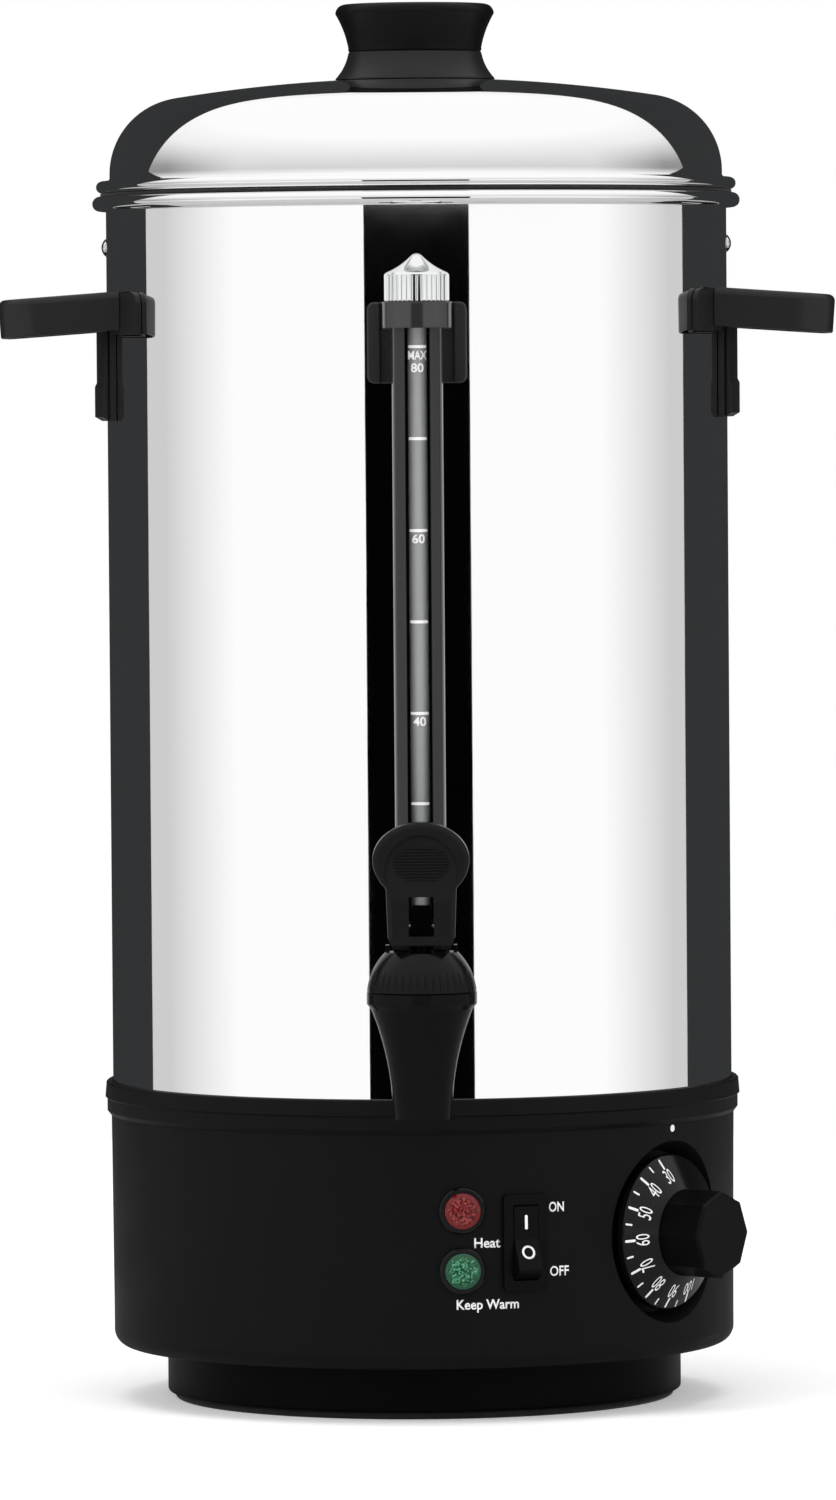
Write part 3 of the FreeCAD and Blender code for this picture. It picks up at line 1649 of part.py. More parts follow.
def heating_element():
    """Tubular ring under the heater plate, with two legs and their pins."""
    z = heater_under - element_tube - side_gap / 2
    first = element_ends()[0]
    turn = math.radians(first)
    start = V(element_ring * math.cos(turn), element_ring * math.sin(turn), z)
    tangent = V(-math.sin(turn), math.cos(turn), 0)
    disc = Part.Face(Part.Wire([Part.makeCircle(element_tube, start, tangent)]))
    sheath = upright(disc.revolve(V(0, 0, z), UP, element_sweep))
    solids = []
    for foot, way in element_feet():
        end = V(foot.x, foot.y, z)
        disc = Part.Face(Part.Wire([Part.makeCircle(element_tube, end, way)]))
        axis = way.cross(UP) * -1
        elbow = upright(disc.revolve(end - UP * element_elbow, axis * -1, 90))
        leg_top = end + way * element_elbow - UP * element_elbow
        leg = Part.makeCylinder(element_tube, element_leg, leg_top - UP * element_leg, UP)
        sheath = sheath.fuse([elbow, leg])
        pin_top = leg_top - UP * element_leg
        pin = Part.makeCylinder(element_pin_radius, element_pin_length, pin_top - UP * element_pin_length, UP)
        solids.append(pin)
    return Part.makeCompound([sheath.removeSplitter()] + solids)


def thermal_cutout():
    body = post(cutout_radius, heater_under - cutout_height, heater_under, 0, cutout_setback)
    ears = block(-cutout_ear_reach, cutout_ear_reach, cutout_setback - cutout_ear_half_width,
                 cutout_setback + cutout_ear_half_width, heater_under - cutout_ear, heater_under)
    return body.fuse(ears)


def bulb_height():
    return heater_under - bulb_radius - side_gap / 2


def thermostat_bulb():
    return cross_rod(bulb_radius, bulb_length / 2, bulb_setback, bulb_height())


def bulb_clips():
    clips = []
    low = bulb_height() - bulb_radius - bulb_clip_wall
    half = bulb_radius + bulb_clip_wall
    for x in (-bulb_clip_spacing / 2, bulb_clip_spacing / 2):
        clip = block(x - bulb_clip_width / 2, x + bulb_clip_width / 2, bulb_setback - half,
                     bulb_setback + half, low, heater_under)
        hole = cross_rod(bulb_radius + running_gap, bulb_length / 2 + 5, bulb_setback, bulb_height())
        clips.append(clip.cut(hole).Solids[0])
    return Part.makeCompound(clips)


def cord_tube(name, points, radius):
    """A tube along straight runs with tangent arcs, as large as the runs allow."""
    edges = []
    radii = []
    last = points[0]
    for before, corner, after in zip(points, points[1:], points[2:]):
        back = (before - corner).normalize()
        ahead = (after - corner).normalize()
        run = min((before - corner).Length, (after - corner).Length)
        half_turn = (math.pi - back.getAngle(ahead)) / 2
        bend = 0.45 * run / math.tan(half_turn)
        radii.append(round(bend, 1))
        reach = 0.45 * run
        enter = corner + back * reach
        leave = corner + ahead * reach
        inward = (back + ahead).normalize()
        middle = corner + inward * (bend / math.cos(half_turn) - bend)
        edges.append(Part.makeLine(last, enter))
        edges.append(Part.Arc(enter, middle, leave).toShape())
        last = leave
    edges.append(Part.makeLine(last, points[-1]))
    path = Part.Wire(edges)
    section = Part.Wire([Part.makeCircle(radius, points[0], points[1] - points[0])])
    solid = upright(path.makePipeShell([section], True, False))
    ratio = solid.Volume / (math.pi * radius ** 2 * path.Length)
    print(name, "bend radii", radii, "volume ratio", round(ratio, 3))
    return solid


def capillary_end():
    """Top of the thermostat, where the bulb's capillary goes in."""
    reach = pocket_floor_reach - pocket_floor - thermostat_depth / 2
    return azimuth_point(reach, dial_azimuth, controls_height + thermostat_size / 2)


def capillary_tube():
    """From the bulb, under the element's ring and beside its leg, to the thermostat."""
    start = V(bulb_length / 2, bulb_setback, bulb_height())
    end = capillary_end()
    leg = pin_end(0)
    lead = 10 * capillary_radius
    under_ring = heater_under - 2 * element_tube - lead
    points = [
        start,
        start + ALONG_X * lead,
        start + V(2.3 * lead, -1.4 * lead, under_ring - start.z + 1.5),
        V(leg.x + 3 * element_tube, leg.y, under_ring),
        V(end.x, end.y, shield_under + shield_thickness + lead / 2),
        end,
    ]
    return cord_tube("capillary", points, capillary_radius)


def heat_shield():
    low = shield_under
    high = low + shield_thickness
    shield = post(shield_radius, low, high)
    for azimuth in rod_azimuths:
        place = azimuth_point(rod_reach, azimuth, 0)
        shield = shield.cut(post(rod_radius + screw_gap, low - 1, high + 1, place.x, place.y))
    for foot, way in element_feet():
        place = foot + way * element_elbow
        shield = shield.cut(post(element_tube + 1.5, low - 1, high + 1, place.x, place.y))
    end = capillary_end()
    return shield.cut(post(5 * capillary_radius, low - 1, high + 1, end.x, end.y))


def tie_rods():
    rods = []
    low = foot_height - foot_plate - nut_height - rod_tail
    for azimuth in rod_azimuths:
        place = azimuth_point(rod_reach, azimuth, 0)
        rods.append(post(rod_radius, low, floor_under, place.x, place.y))
    return Part.makeCompound(rods)


def tie_rod_nuts():
    """Under the foot plate and under the heat shield."""
    nuts = []
    for azimuth in rod_azimuths:
        place = azimuth_point(rod_reach, azimuth, 0)
        for high in (foot_height - foot_plate, shield_under):
            nut = hex_post(nut_flats, high - nut_height, high, place.x, place.y)
            hole = post(rod_radius + press_gap, high - nut_height - 1, high + 1, place.x, place.y)
            nuts.append(nut.cut(hole))
    return Part.makeCompound(nuts)


def earth_stud():
    place = azimuth_point(earth_reach, earth_azimuth, 0)
    stud = post(earth_radius, floor_under - earth_length, floor_under, place.x, place.y)
    high = floor_under - earth_length / 2
    nut = hex_post(earth_nut_flats, high - earth_nut, high, place.x, place.y)
    nut = nut.cut(post(earth_radius + press_gap, high - 5, high + 1, place.x, place.y))
    return Part.makeCompound([stud, nut])


def terminal_block():
    half = block_width / 2
    near = block_setback - block_depth / 2
    far = block_setback + block_depth / 2
    body = block(-half, half, near, far, foot_height, foot_height + block_height)
    high = foot_height + block_height
    for x in (-block_pitch, 0, block_pitch):
        start = V(x, near - 1, foot_height + block_height / 2)
        body = body.cut(Part.makeCylinder(block_wire_hole, block_depth + 2, start, V(0, 1, 0)))
        body = body.cut(post(block_screw_hole, high - 3, high + 1, x, block_setback))
    return body


def blade_end(z):
    return azimuth_point(bezel_reach() - switch_depth - terminal_length - side_gap, switch_azimuth, z)


def thermostat_back(z):
    reach = pocket_floor_reach - pocket_floor - thermostat_depth - side_gap
    return azimuth_point(reach, dial_azimuth, z)


def towards_axis(point):
    """The level direction from a point to the drum's axis."""
    return V(-point.x, -point.y, 0).normalize()


def pin_end(index):
    foot, way = element_feet()[index]
    low = heater_under - element_tube - side_gap / 2 - element_elbow - element_leg - element_pin_length
    place = foot + way * element_elbow
    return V(place.x, place.y, low - side_gap)


def wire(name, start, end, sway):
    """A wire between two ends, each a point and a run straight out of it, with a slack middle."""
    out = start[0] + start[1]
    back = end[0] + end[1]
    points = [start[0], out, (out + back) * 0.5 + sway, back, end[0]]
    return cord_tube(name, points, wire_radius)


def wiring():
    """Wires between the terminal block, switch, thermostat and heating element."""
    block_face = block_setback - block_depth / 2
    block_z = foot_height + block_height / 2
    run = 8 * wire_radius
    plug_in = V(0, 2 * wire_radius, 0)
    live = V(-block_pitch, block_face, block_z) + plug_in
    neutral = V(block_pitch, block_face, block_z) + plug_in
    low_blade = blade_end(controls_height - terminal_spacing)
    high_blade = blade_end(controls_height + terminal_spacing)
    low_back = thermostat_back(controls_height - terminal_spacing)
    high_back = thermostat_back(controls_height + terminal_spacing)
    near_pin = pin_end(0)
    far_pin = pin_end(1)
    forward = OUTWARD * (2 * run)
    down = UP * -run
    return Part.makeCompound([
        wire("live wire", (live, forward), (low_blade, towards_axis(low_blade) * run), V(-6, 0, -8)),
        wire("switched wire", (high_blade, towards_axis(high_blade) * run),
             (low_back, towards_axis(low_back) * run), V(4, -9, -7)),
        wire("heater wire", (high_back, towards_axis(high_back) * run), (near_pin, down), V(-4, 0, -8)),
        wire("neutral wire", (neutral, forward), (far_pin, down), V(6, 0, -6)),
    ])


NODES = {
    "tank": tank,
    "base_collar": base_collar,
    "base_shell": base_shell,
    "base_plate": base_plate,
    "foot_ring": foot_ring,
    "tie_rods": tie_rods,
    "tie_rod_nuts": tie_rod_nuts,
    "handle_mount_right": handle_mount,
    "handle_mount_left": lambda: left_copy(handle_mount()),
    "handle_right": handle,
    "handle_left": lambda: left_copy(handle()),
    "handle_screws": handle_screws,
    "lid_lock_studs": lid_lock_studs,
    "lid_seal": lid_seal,
    "lid_shell": lid_shell,
    "lid_lock_ring": lid_lock_ring,
    "lid_knob_base": lid_knob_base,
    "lid_knob": lid_knob,
    "lid_knob_screw": lid_knob_screw,
    "lid_knob_washer": lid_knob_washer,
    "gauge_tube": gauge_tube,
    "gauge_shield": gauge_shield,
    "gauge_cap": gauge_cap,
    "gauge_bracket": gauge_bracket,
    "gauge_seals": gauge_seals,
    "gauge_bracket_screws": gauge_bracket_screws,
    "tap_body": tap_body,
    "tap_bonnet": tap_bonnet,
    "tap_seals": tap_seals,
    "tap_lock_nut": tap_lock_nut,
    "tap_seat_cup": tap_seat_cup,
    "tap_spring": tap_spring,
    "tap_stem": tap_stem,
    "lever_pin": lever_pin,
    "tap_lever": tap_lever,
    "thermostat_body": thermostat_body,
    "thermostat_screws": thermostat_screws,
    "thermostat_shaft": thermostat_shaft,
    "dial_disc": dial_disc,
    "thermostat_grip": thermostat_grip,
    "thermostat_bulb": thermostat_bulb,
    "bulb_clips": bulb_clips,
    "capillary_tube": capillary_tube,
    "switch_frame": switch_frame,
    "switch_rocker": switch_rocker,
    "switch_terminals": switch_terminals,
    "lamp_housings": lamp_housings,
    "lamp_lens_heat": lambda: lamp_lens(lamp_heat_height),
    "lamp_lens_warm": lambda: lamp_lens(lamp_warm_height),
    "heater_plate": heater_plate,
    "heating_element": heating_element,
    "thermal_cutout": thermal_cutout,
    "heat_shield": heat_shield,
    "earth_stud": earth_stud,
    "terminal_block": terminal_block,
    "wiring": wiring,
    "cord_gland": cord_gland,
    "cord_gland_nut": cord_gland_nut,
}


def main():
    os.makedirs("parts", exist_ok=True)
    for name, make in NODES.items():
        shape = make()
        if not shape.isValid():
            print("not valid:", name)
        if shape.Volume <= 0:
            print("no volume:", name)
        shape.exportStep("parts/" + name + ".step")
    print(len(NODES), "nodes written")


main()
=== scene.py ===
import logging
import math
from dataclasses import dataclass, field
from enum import Enum

import bpy
from mathutils import Matrix, Quaternion, Vector


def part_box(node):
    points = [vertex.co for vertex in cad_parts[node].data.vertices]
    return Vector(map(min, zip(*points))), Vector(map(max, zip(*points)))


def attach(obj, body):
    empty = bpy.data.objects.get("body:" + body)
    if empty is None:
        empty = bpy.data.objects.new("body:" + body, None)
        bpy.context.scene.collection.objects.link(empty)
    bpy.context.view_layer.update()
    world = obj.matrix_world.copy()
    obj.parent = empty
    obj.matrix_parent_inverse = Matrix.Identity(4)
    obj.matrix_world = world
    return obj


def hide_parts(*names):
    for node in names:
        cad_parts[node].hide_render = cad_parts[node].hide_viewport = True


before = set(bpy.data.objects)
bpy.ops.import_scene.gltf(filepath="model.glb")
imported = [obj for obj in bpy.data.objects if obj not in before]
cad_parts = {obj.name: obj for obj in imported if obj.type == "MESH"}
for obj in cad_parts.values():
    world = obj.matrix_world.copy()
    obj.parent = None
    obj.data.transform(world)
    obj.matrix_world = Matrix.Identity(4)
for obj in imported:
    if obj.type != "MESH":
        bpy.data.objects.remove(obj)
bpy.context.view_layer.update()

MM = 0.001
UP = Vector((0.0, 0.0, 1.0))
log = logging.getLogger("urn")

Colour = tuple[float, float, float, float]
Outline = list[tuple[float, float]]
Socket = bpy.types.NodeSocket
Tree = bpy.types.NodeTree


def to_linear(hex_colour: str) -> Colour:
    """Turns an sRGB hex colour to linear values.

    Args:
        hex_colour: Colour as "#RRGGBB".

    Returns:
        Red, green, blue and an alpha of one.
    """
    red, green, blue = (int(hex_colour[i:i + 2], 16) / 255 for i in (1, 3, 5))
    linear = [c / 12.92 if c <= 0.04045 else ((c + 0.055) / 1.055) ** 2.4 for c in (red, green, blue)]
    return (linear[0], linear[1], linear[2], 1.0)


def add_node(tree: Tree, kind: str, settings: dict | None = None,
             links: dict | None = None) -> bpy.types.Node:
    """Adds a node with its settings and links.

    Args:
        tree: Node tree of a material or of the world.
        kind: The node's type.
        settings: Values by input name or number, or by attribute where the name is in lower case.
        links: Sockets that feed the inputs, by input name or number.

    Returns:
        The new node.
    """
    node = tree.nodes.new(kind)
    for name, value in (settings or {}).items():
        if isinstance(name, str) and name.islower():
            setattr(node, name, value)
        else:
            node.inputs[name].default_value = value
    for name, socket in (links or {}).items():
        tree.links.new(socket, node.inputs[name])
    return node


def drift(tree: Tree, place: Socket, size: float, low: float = 0.0, high: float = 1.0) -> Socket:
    """A value that drifts softly between two limits over a surface.

    Args:
        tree: Node tree of the material.
        place: Coordinates of the surface in metres.
        size: Size of the patches in millimetres.
        low: Value in the troughs.
        high: Value on the crests.

    Returns:
        The value's socket.
    """
    patches = {"Scale": 1 / (size * MM), "Detail": 3.0}
    cloud = add_node(tree, "ShaderNodeTexNoise", patches, {"Vector": place}).outputs["Fac"]
    spread = {"From Min": 0.3, "From Max": 0.7, "To Min": low, "To Max": high}
    return add_node(tree, "ShaderNodeMapRange", spread, {"Value": cloud}).outputs["Result"]


def mottle(tree: Tree, place: Socket, colours: tuple[str, str], size: float,
           most: float, least: float = 0.0) -> Socket:
    """A colour that passes into another one in soft patches.

    Args:
        tree: Node tree of the material.
        place: Coordinates of the surface in metres.
        colours: The two colours as sRGB hex values.
        size: Size of the patches in millimetres.
        most: Share of the second colour where it shows most.
        least: Its share where it shows least.

    Returns:
        The colour's socket.
    """
    ends = {"data_type": "RGBA", 6: to_linear(colours[0]), 7: to_linear(colours[1])}
    share = drift(tree, place, size, least, most)
    return add_node(tree, "ShaderNodeMix", ends, {0: share}).outputs[2]


def relief(tree: Tree, height: Socket, depth: float, edge: float = 0.0) -> Socket:
    """Normals of a shallow relief, over edges that are softly broken.

    Args:
        tree: Node tree of the material.
        height: Height of the relief, from zero to one.
        depth: Depth of the relief in millimetres.
        edge: Radius of the broken edges in millimetres, or zero for none.

    Returns:
        The socket of the normals.
    """
    links = {"Height": height}
    if edge:
        broken = add_node(tree, "ShaderNodeBevel", {"samples": 4, "Radius": edge * MM})
        links["Normal"] = broken.outputs["Normal"]
    return add_node(tree, "ShaderNodeBump", {"Distance": depth * MM}, links).outputs["Normal"]


@dataclass(frozen=True)
class Finish:
    """A surface finish with the values that are the same all over it."""

    name: str
    colour: str
    roughness: float

    def constants(self) -> dict:
        """Shader values of the finish, by input name."""
        return {"Base Color": to_linear(self.colour), "Roughness": self.roughness}

    def uneven(self, tree: Tree, place: Socket, size: float, share: float) -> Socket:
        """Roughness that drifts up and down by a share of itself.

        Args:
            tree: Node tree of the material.
            place: Coordinates of the surface in metres.
            size: Size of the patches in millimetres.
            share: The share.

        Returns:
            The roughness's socket.
        """
        return drift(tree, place, size, self.roughness * (1 - share), self.roughness * (1 + share))

    def pattern(self, tree: Tree, place: Socket) -> dict[str, Socket]:
        """Sockets of what varies over the surface: here the roughness, in patches of about 30 mm.

        Args:
            tree: Node tree of the material.
            place: Object coordinates in metres.

        Returns:
            Sockets by the shader input that they feed.
        """
        return {"Roughness": self.uneven(tree, place, size=30.0, share=0.1)}

    def surface(self, tree: Tree, place: Socket) -> Socket:
        """Builds the shader of the finish.

        Args:
            tree: Node tree of the material.
            place: Object coordinates in metres.

        Returns:
            The shader's socket.
        """
        shader = add_node(tree, "ShaderNodeBsdfPrincipled", self.constants(), self.pattern(tree, place))
        return shader.outputs["BSDF"]

    def material(self) -> bpy.types.Material:
        """The finish as a material, which is built once."""
        made = bpy.data.materials.get(self.name)
        if made:
            return made
        made = bpy.data.materials.new(self.name)
        made.use_nodes = True
        tree = made.node_tree
        tree.nodes.clear()
        place = add_node(tree, "ShaderNodeTexCoord").outputs["Object"]
        add_node(tree, "ShaderNodeOutputMaterial", {}, {"Surface": self.surface(tree, place)})
        return made


@dataclass(frozen=True)
class Metal(Finish):
    """Bare metal, with the default IOR."""

    def constants(self) -> dict:
        """Wholly metallic."""
        return super().constants() | {"Metallic": 1.0}


@dataclass(frozen=True)
class PolishedStainless(Metal):
    """Deep-drawn stainless steel, buffed to a mirror: clean reflections with a faint haze."""

    haze: float = 0.012
    mop_width: float = 45.0
    wave_length: float = 70.0
    wave_depth: float = 0.02

    def pattern(self, tree: Tree, place: Socket) -> dict[str, Socket]:
        """Buffing leaves patches of haze as wide as the mop, and a sheet that is never quite true."""
        haze = drift(tree, place, self.mop_width, self.roughness, self.roughness + self.haze)
        wave = drift(tree, place, self.wave_length)
        return {"Roughness": haze, "Normal": relief(tree, wave, self.wave_depth)}


@dataclass(frozen=True)
class SatinMetal(Metal):
    """Metal that was rolled, drawn or turned and left satin: a broken sheen along its grain."""

    grain: tuple[float, float, float] = (1.0, 1.0, 12.0)
    dull: str = "#4F4E4C"
    dull_patch: float = 6.0
    dull_share: float = 0.35
    line_gap: float = 0.4
    line_depth: float = 0.01
    streak_gap: float = 0.9
    edge: float = 0.15

    def pattern(self, tree: Tree, place: Socket) -> dict[str, Socket]:
        """Grain lines 0.4 mm apart, coarser than real ones so that they show at this distance."""
        stretch = add_node(tree, "ShaderNodeMapping", {"Scale": self.grain}, {"Vector": place})
        along = stretch.outputs["Vector"]
        lines = drift(tree, along, self.line_gap * max(self.grain))
        colours = (self.colour, self.dull)
        return {
            "Base Color": mottle(tree, place, colours, self.dull_patch, self.dull_share),
            "Roughness": self.uneven(tree, along, self.streak_gap * max(self.grain), share=0.2),
            "Normal": relief(tree, lines, self.line_depth, self.edge),
        }


@dataclass(frozen=True)
class MouldedPlastic(Finish):
    """Injection-moulded plastic: an even tone, with the eroded grain of its mould."""

    ior: float = 1.5
    grain: float = 0.35
    depth: float = 0.006
    edge: float = 0.3
    shine: float = 0.5
    flow_patch: float = 25.0

    def constants(self) -> dict:
        """Dielectric values."""
        return super().constants() | {"IOR": self.ior, "Specular IOR Level": self.shine}

    def pattern(self, tree: Tree, place: Socket) -> dict[str, Socket]:
        """Real mould grain is about 0.1 mm; it is drawn coarser so that it shows."""
        pits = drift(tree, place, self.grain)
        rough = self.uneven(tree, place, self.flow_patch, share=0.08)
        return {"Roughness": rough, "Normal": relief(tree, pits, self.depth, self.edge)}


@dataclass(frozen=True)
class SoftRubber(Finish):
    """Moulded rubber or silicone: matt, a little dusty, with a soft sheen at its edges."""

    dust: str = "#4A4A4A"
    see_through: float = 0.0
    dust_patch: float = 8.0
    dust_share: float = 0.2
    skin_grain: float = 0.5
    skin_depth: float = 0.01
    edge: float = 0.25

    def constants(self) -> dict:
        """Sheen stands for the fine bloom on the surface."""
        return super().constants() | {
            "IOR": 1.41, "Sheen Weight": 0.15, "Sheen Roughness": 0.4,
            "Subsurface Weight": self.see_through, "Subsurface Scale": 0.004,
        }

    def pattern(self, tree: Tree, place: Socket) -> dict[str, Socket]:
        """Dust gathers in patches of about 8 mm over a fine moulded skin."""
        tone = mottle(tree, place, (self.colour, self.dust), self.dust_patch, self.dust_share)
        skin = drift(tree, place, self.skin_grain)
        return {"Base Color": tone, "Normal": relief(tree, skin, self.skin_depth, self.edge)}


@dataclass(frozen=True)
class GaugeGlass(Finish):
    """Drawn borosilicate tube: see-through with a grey, slightly milky bloom from hard water."""

    clear: float = 0.5
    streak: tuple[float, float, float] = (1.0, 1.0, 0.1)
    streak_gap: float = 9.0
    bloom: float = 1.5

    def constants(self) -> dict:
        """Part of the light goes through, at the IOR of borosilicate."""
        return super().constants() | {"Transmission Weight": self.clear, "IOR": 1.47}

    def pattern(self, tree: Tree, place: Socket) -> dict[str, Socket]:
        """The bloom is a little denser in streaks along the tube, about 9 mm apart."""
        stretch = add_node(tree, "ShaderNodeMapping", {"Scale": self.streak}, {"Vector": place})
        along = stretch.outputs["Vector"]
        densest = self.roughness * self.bloom
        return {"Roughness": drift(tree, along, self.streak_gap, self.roughness, densest)}


@dataclass(frozen=True)
class LensPlastic(Finish):
    """Tinted acrylic, moulded and polished: the tint deepens where the light goes further."""

    clear: float = 0.6
    sink_size: float = 4.0
    sink_depth: float = 0.01
    edge: float = 0.1

    def constants(self) -> dict:
        """Part of the light goes through, the rest shows the tint."""
        return super().constants() | {"Transmission Weight": self.clear, "IOR": 1.49}

    def pattern(self, tree: Tree, place: Socket) -> dict[str, Socket]:
        """A sink of about 4 mm in the moulding."""
        sink = drift(tree, place, self.sink_size)
        return {"Normal": relief(tree, sink, self.sink_depth, self.edge)}


@dataclass(frozen=True)
class PrismPlastic(Finish):
    """Tinted acrylic, moulded in small prisms, with a painted glint: a pale colour in patches stands in
    for the light that some prisms throw back.
    """

    painted_glint: str = "#FFFFFF"
    shine: float = 0.8
    painted_glint_size: float = 0.9
    painted_glint_least: float = -0.6

    def constants(self) -> dict:
        """Polished acrylic with a strong gloss."""
        return super().constants() | {"IOR": 1.49, "Specular IOR Level": self.shine}

    def pattern(self, tree: Tree, place: Socket) -> dict[str, Socket]:
        """About every second prism, of roughly 1 mm, gets the pale colour of a painted glint."""
        colours = (self.colour, self.painted_glint)
        return {"Base Color": mottle(tree, place, colours, self.painted_glint_size, 1.0, self.painted_glint_least)}


@dataclass(frozen=True)
class PrintInk(Finish):
    """Pad-printed ink: opaque, satin, a touch thin in places; a painted glow can make it give off a
    little light of its own.
    """

    thin: str = "#D9D9D6"
    painted_glow: float = 0.0
    thin_patch: float = 1.0
    thin_share: float = 0.5

    def constants(self) -> dict:
        """The painted glow is even all over the ink."""
        return super().constants() | {
            "Emission Color": to_linear(self.colour), "Emission Strength": self.painted_glow,
        }

    def pattern(self, tree: Tree, place: Socket) -> dict[str, Socket]:
        """The film is uneven over about 1 mm."""
        colours = (self.colour, self.thin)
        return {"Base Color": mottle(tree, place, colours, self.thin_patch, self.thin_share)}


MIRROR_STAINLESS = PolishedStainless("mirror_buffed_stainless", "#FCFCFC", 0.02)
CHROME_PLATE = PolishedStainless("bright_chrome_plate", "#F2F3F4", 0.04, 0.02)
SATIN_STEEL = SatinMetal("satin_stainless_fastener", "#B4B4B2", 0.32)
TINTED_STEEL = SatinMetal("heat_tinted_steel_sheath", "#8C8073", 0.38, (12.0, 12.0, 1.0))
DRAWN_COPPER = SatinMetal("drawn_copper_tube", "#C98B6B", 0.28)
STAMPED_BRASS = SatinMetal("stamped_brass", "#C8AC6A", 0.3)
CAST_ALUMINIUM = SatinMetal("machined_cast_aluminium", "#C6C7C8", 0.42, (12.0, 1.0, 1.0))
BASE_PLASTIC = MouldedPlastic("moulded_satin_pp_base", "#0B0B0C", 0.5, shine=0.12, grain=0.5)
# The foot is the base's polypropylene painted darker: painted shade for the dim lower part of the base.
FOOT_PAINTED_SHADE_PLASTIC = MouldedPlastic("satin_pp_painted_shade_foot", "#050506", 0.42, shine=0.06)
HANDLE_PLASTIC = MouldedPlastic("moulded_phenolic_handle", "#19191A", 0.36, shine=0.3, grain=0.4)
KNOB_PLASTIC = MouldedPlastic("moulded_phenolic_knob", "#070708", 0.36, shine=0.12, grain=0.4)
LAMP_PLASTIC = MouldedPlastic("moulded_gloss_pc_lamp_body", "#060607", 0.12, shine=0.3, depth=0.002)
TAP_PLASTIC = MouldedPlastic("moulded_glossy_pa_tap", "#121213", 0.16, shine=0.04, depth=0.002)
LEVER_PLASTIC = MouldedPlastic("moulded_glossy_pa_lever", "#1B1B1C", 0.16, shine=0.06, depth=0.002)
BONNET_PLASTIC = MouldedPlastic("moulded_satin_pa_bonnet", "#080809", 0.2, shine=0.18, depth=0.002)
SHIELD_PLASTIC = MouldedPlastic("moulded_glossy_gauge_shield", "#232324", 0.16, shine=0.4, depth=0.002)
BRACKET_PLASTIC = MouldedPlastic("moulded_glossy_gauge_bracket", "#232324", 0.12, shine=0.8,
                                 depth=0.002, edge=0.9)
DIAL_PLASTIC = MouldedPlastic("moulded_gloss_abs_dial", "#0B0B0C", 0.16, shine=0.26, depth=0.002)
GRIP_PLASTIC = MouldedPlastic("moulded_matt_abs_grip", "#070708", 0.4, shine=0.1)
SWITCH_PLASTIC = MouldedPlastic("moulded_pa66_switch", "#0A0A0B", 0.3, shine=0.08, grain=0.25)
PRESSED_RESIN = MouldedPlastic("pressed_phenolic_resin", "#3B2F29", 0.55, grain=1.2, depth=0.02)
WHITE_PLASTIC = MouldedPlastic("moulded_natural_pa_block", "#E3E0D5", 0.45)
FOOT_RUBBER = SoftRubber("moulded_black_rubber_foot", "#17171A", 0.7)
SILICONE = SoftRubber("moulded_translucent_silicone", "#DAD8D2", 0.45, "#C9C5BB", 0.4)
# The lid seal's black is partly the gasket's own colour and partly painted shade for the dark gap
# between the lid's bead and the rim.
SEAL_SILICONE_PAINTED_SHADE = SoftRubber("black_silicone_and_painted_shade", "#1B1B1C", 0.5, "#2A2A2A")
WIRE_SILICONE = SoftRubber("extruded_silicone_wire_cover", "#8A4A33", 0.5, "#6B3A2A")
GAUGE_GLASS = GaugeGlass("drawn_borosilicate_glass", "#E0E2E3", 0.08, 0.35)
RED_LENS = LensPlastic("moulded_red_acrylic_lens", "#7A1216", 0.08, 0.3)
GREEN_LENS = LensPlastic("moulded_green_acrylic_lens", "#1B5A3C", 0.08, 0.3)
# The second colour of each prism finish is a painted glint, not the acrylic's own tint.
RED_PRISMS = PrismPlastic("moulded_red_acrylic_prisms", "#4E0A0D", 0.12, "#B84E4A", 0.5)
GREEN_PRISMS = PrismPlastic("moulded_green_acrylic_prisms", "#0F4029", 0.12, "#5CAF87", 0.4)
WHITE_INK = PrintInk("pad_printed_white_ink", "#FBFBFA", 0.45, "#ECECEA")
# The scale's ink has a painted glow of 0.45, which lifts the marks where the shield shades them.
SCALE_INK = PrintInk("screen_printed_white_enamel", "#FDFDFC", 0.4, "#F4F4F2", 0.45)


def dress(finish: Finish, *nodes: str) -> None:
    """Gives CAD nodes a finish.

    Args:
        finish: The finish.
        nodes: Names of the nodes.
    """
    for name in nodes:
        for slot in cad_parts[name].material_slots:
            slot.material = finish.material()
        log.info("dressed %s in %s", name, finish.name)


def arc(centre: tuple[float, float], radius: float, start: float, end: float, steps: int) -> Outline:
    """Points along an arc of an outline.

    Args:
        centre: Reach and height of the arc's centre.
        radius: Radius of the arc.
        start: Angle of the first point in degrees, from the outward direction.
        end: Angle of the last point in degrees.
        steps: Number of chords.

    Returns:
        The points, first and last included.
    """
    angles = [math.radians(start + (end - start) * i / steps) for i in range(steps + 1)]
    return [(centre[0] + radius * math.cos(a), centre[1] + radius * math.sin(a)) for a in angles]


def start_alone() -> None:
    """Deselects every object, so that an operator acts on the next one alone."""
    if bpy.context.active_object and bpy.context.active_object.mode != "OBJECT":
        bpy.ops.object.mode_set(mode="OBJECT")
    bpy.ops.object.select_all(action="DESELECT")


def select_only(piece: bpy.types.Object) -> None:
    """Selects one object and makes it the active one."""
    start_alone()
    piece.select_set(True)
    bpy.context.view_layer.objects.active = piece


def settle(piece: bpy.types.Object) -> None:
    """Puts a piece's place into its mesh, so that the object sits at the origin."""
    select_only(piece)
    bpy.ops.object.transform_apply(location=True, rotation=True, scale=True)


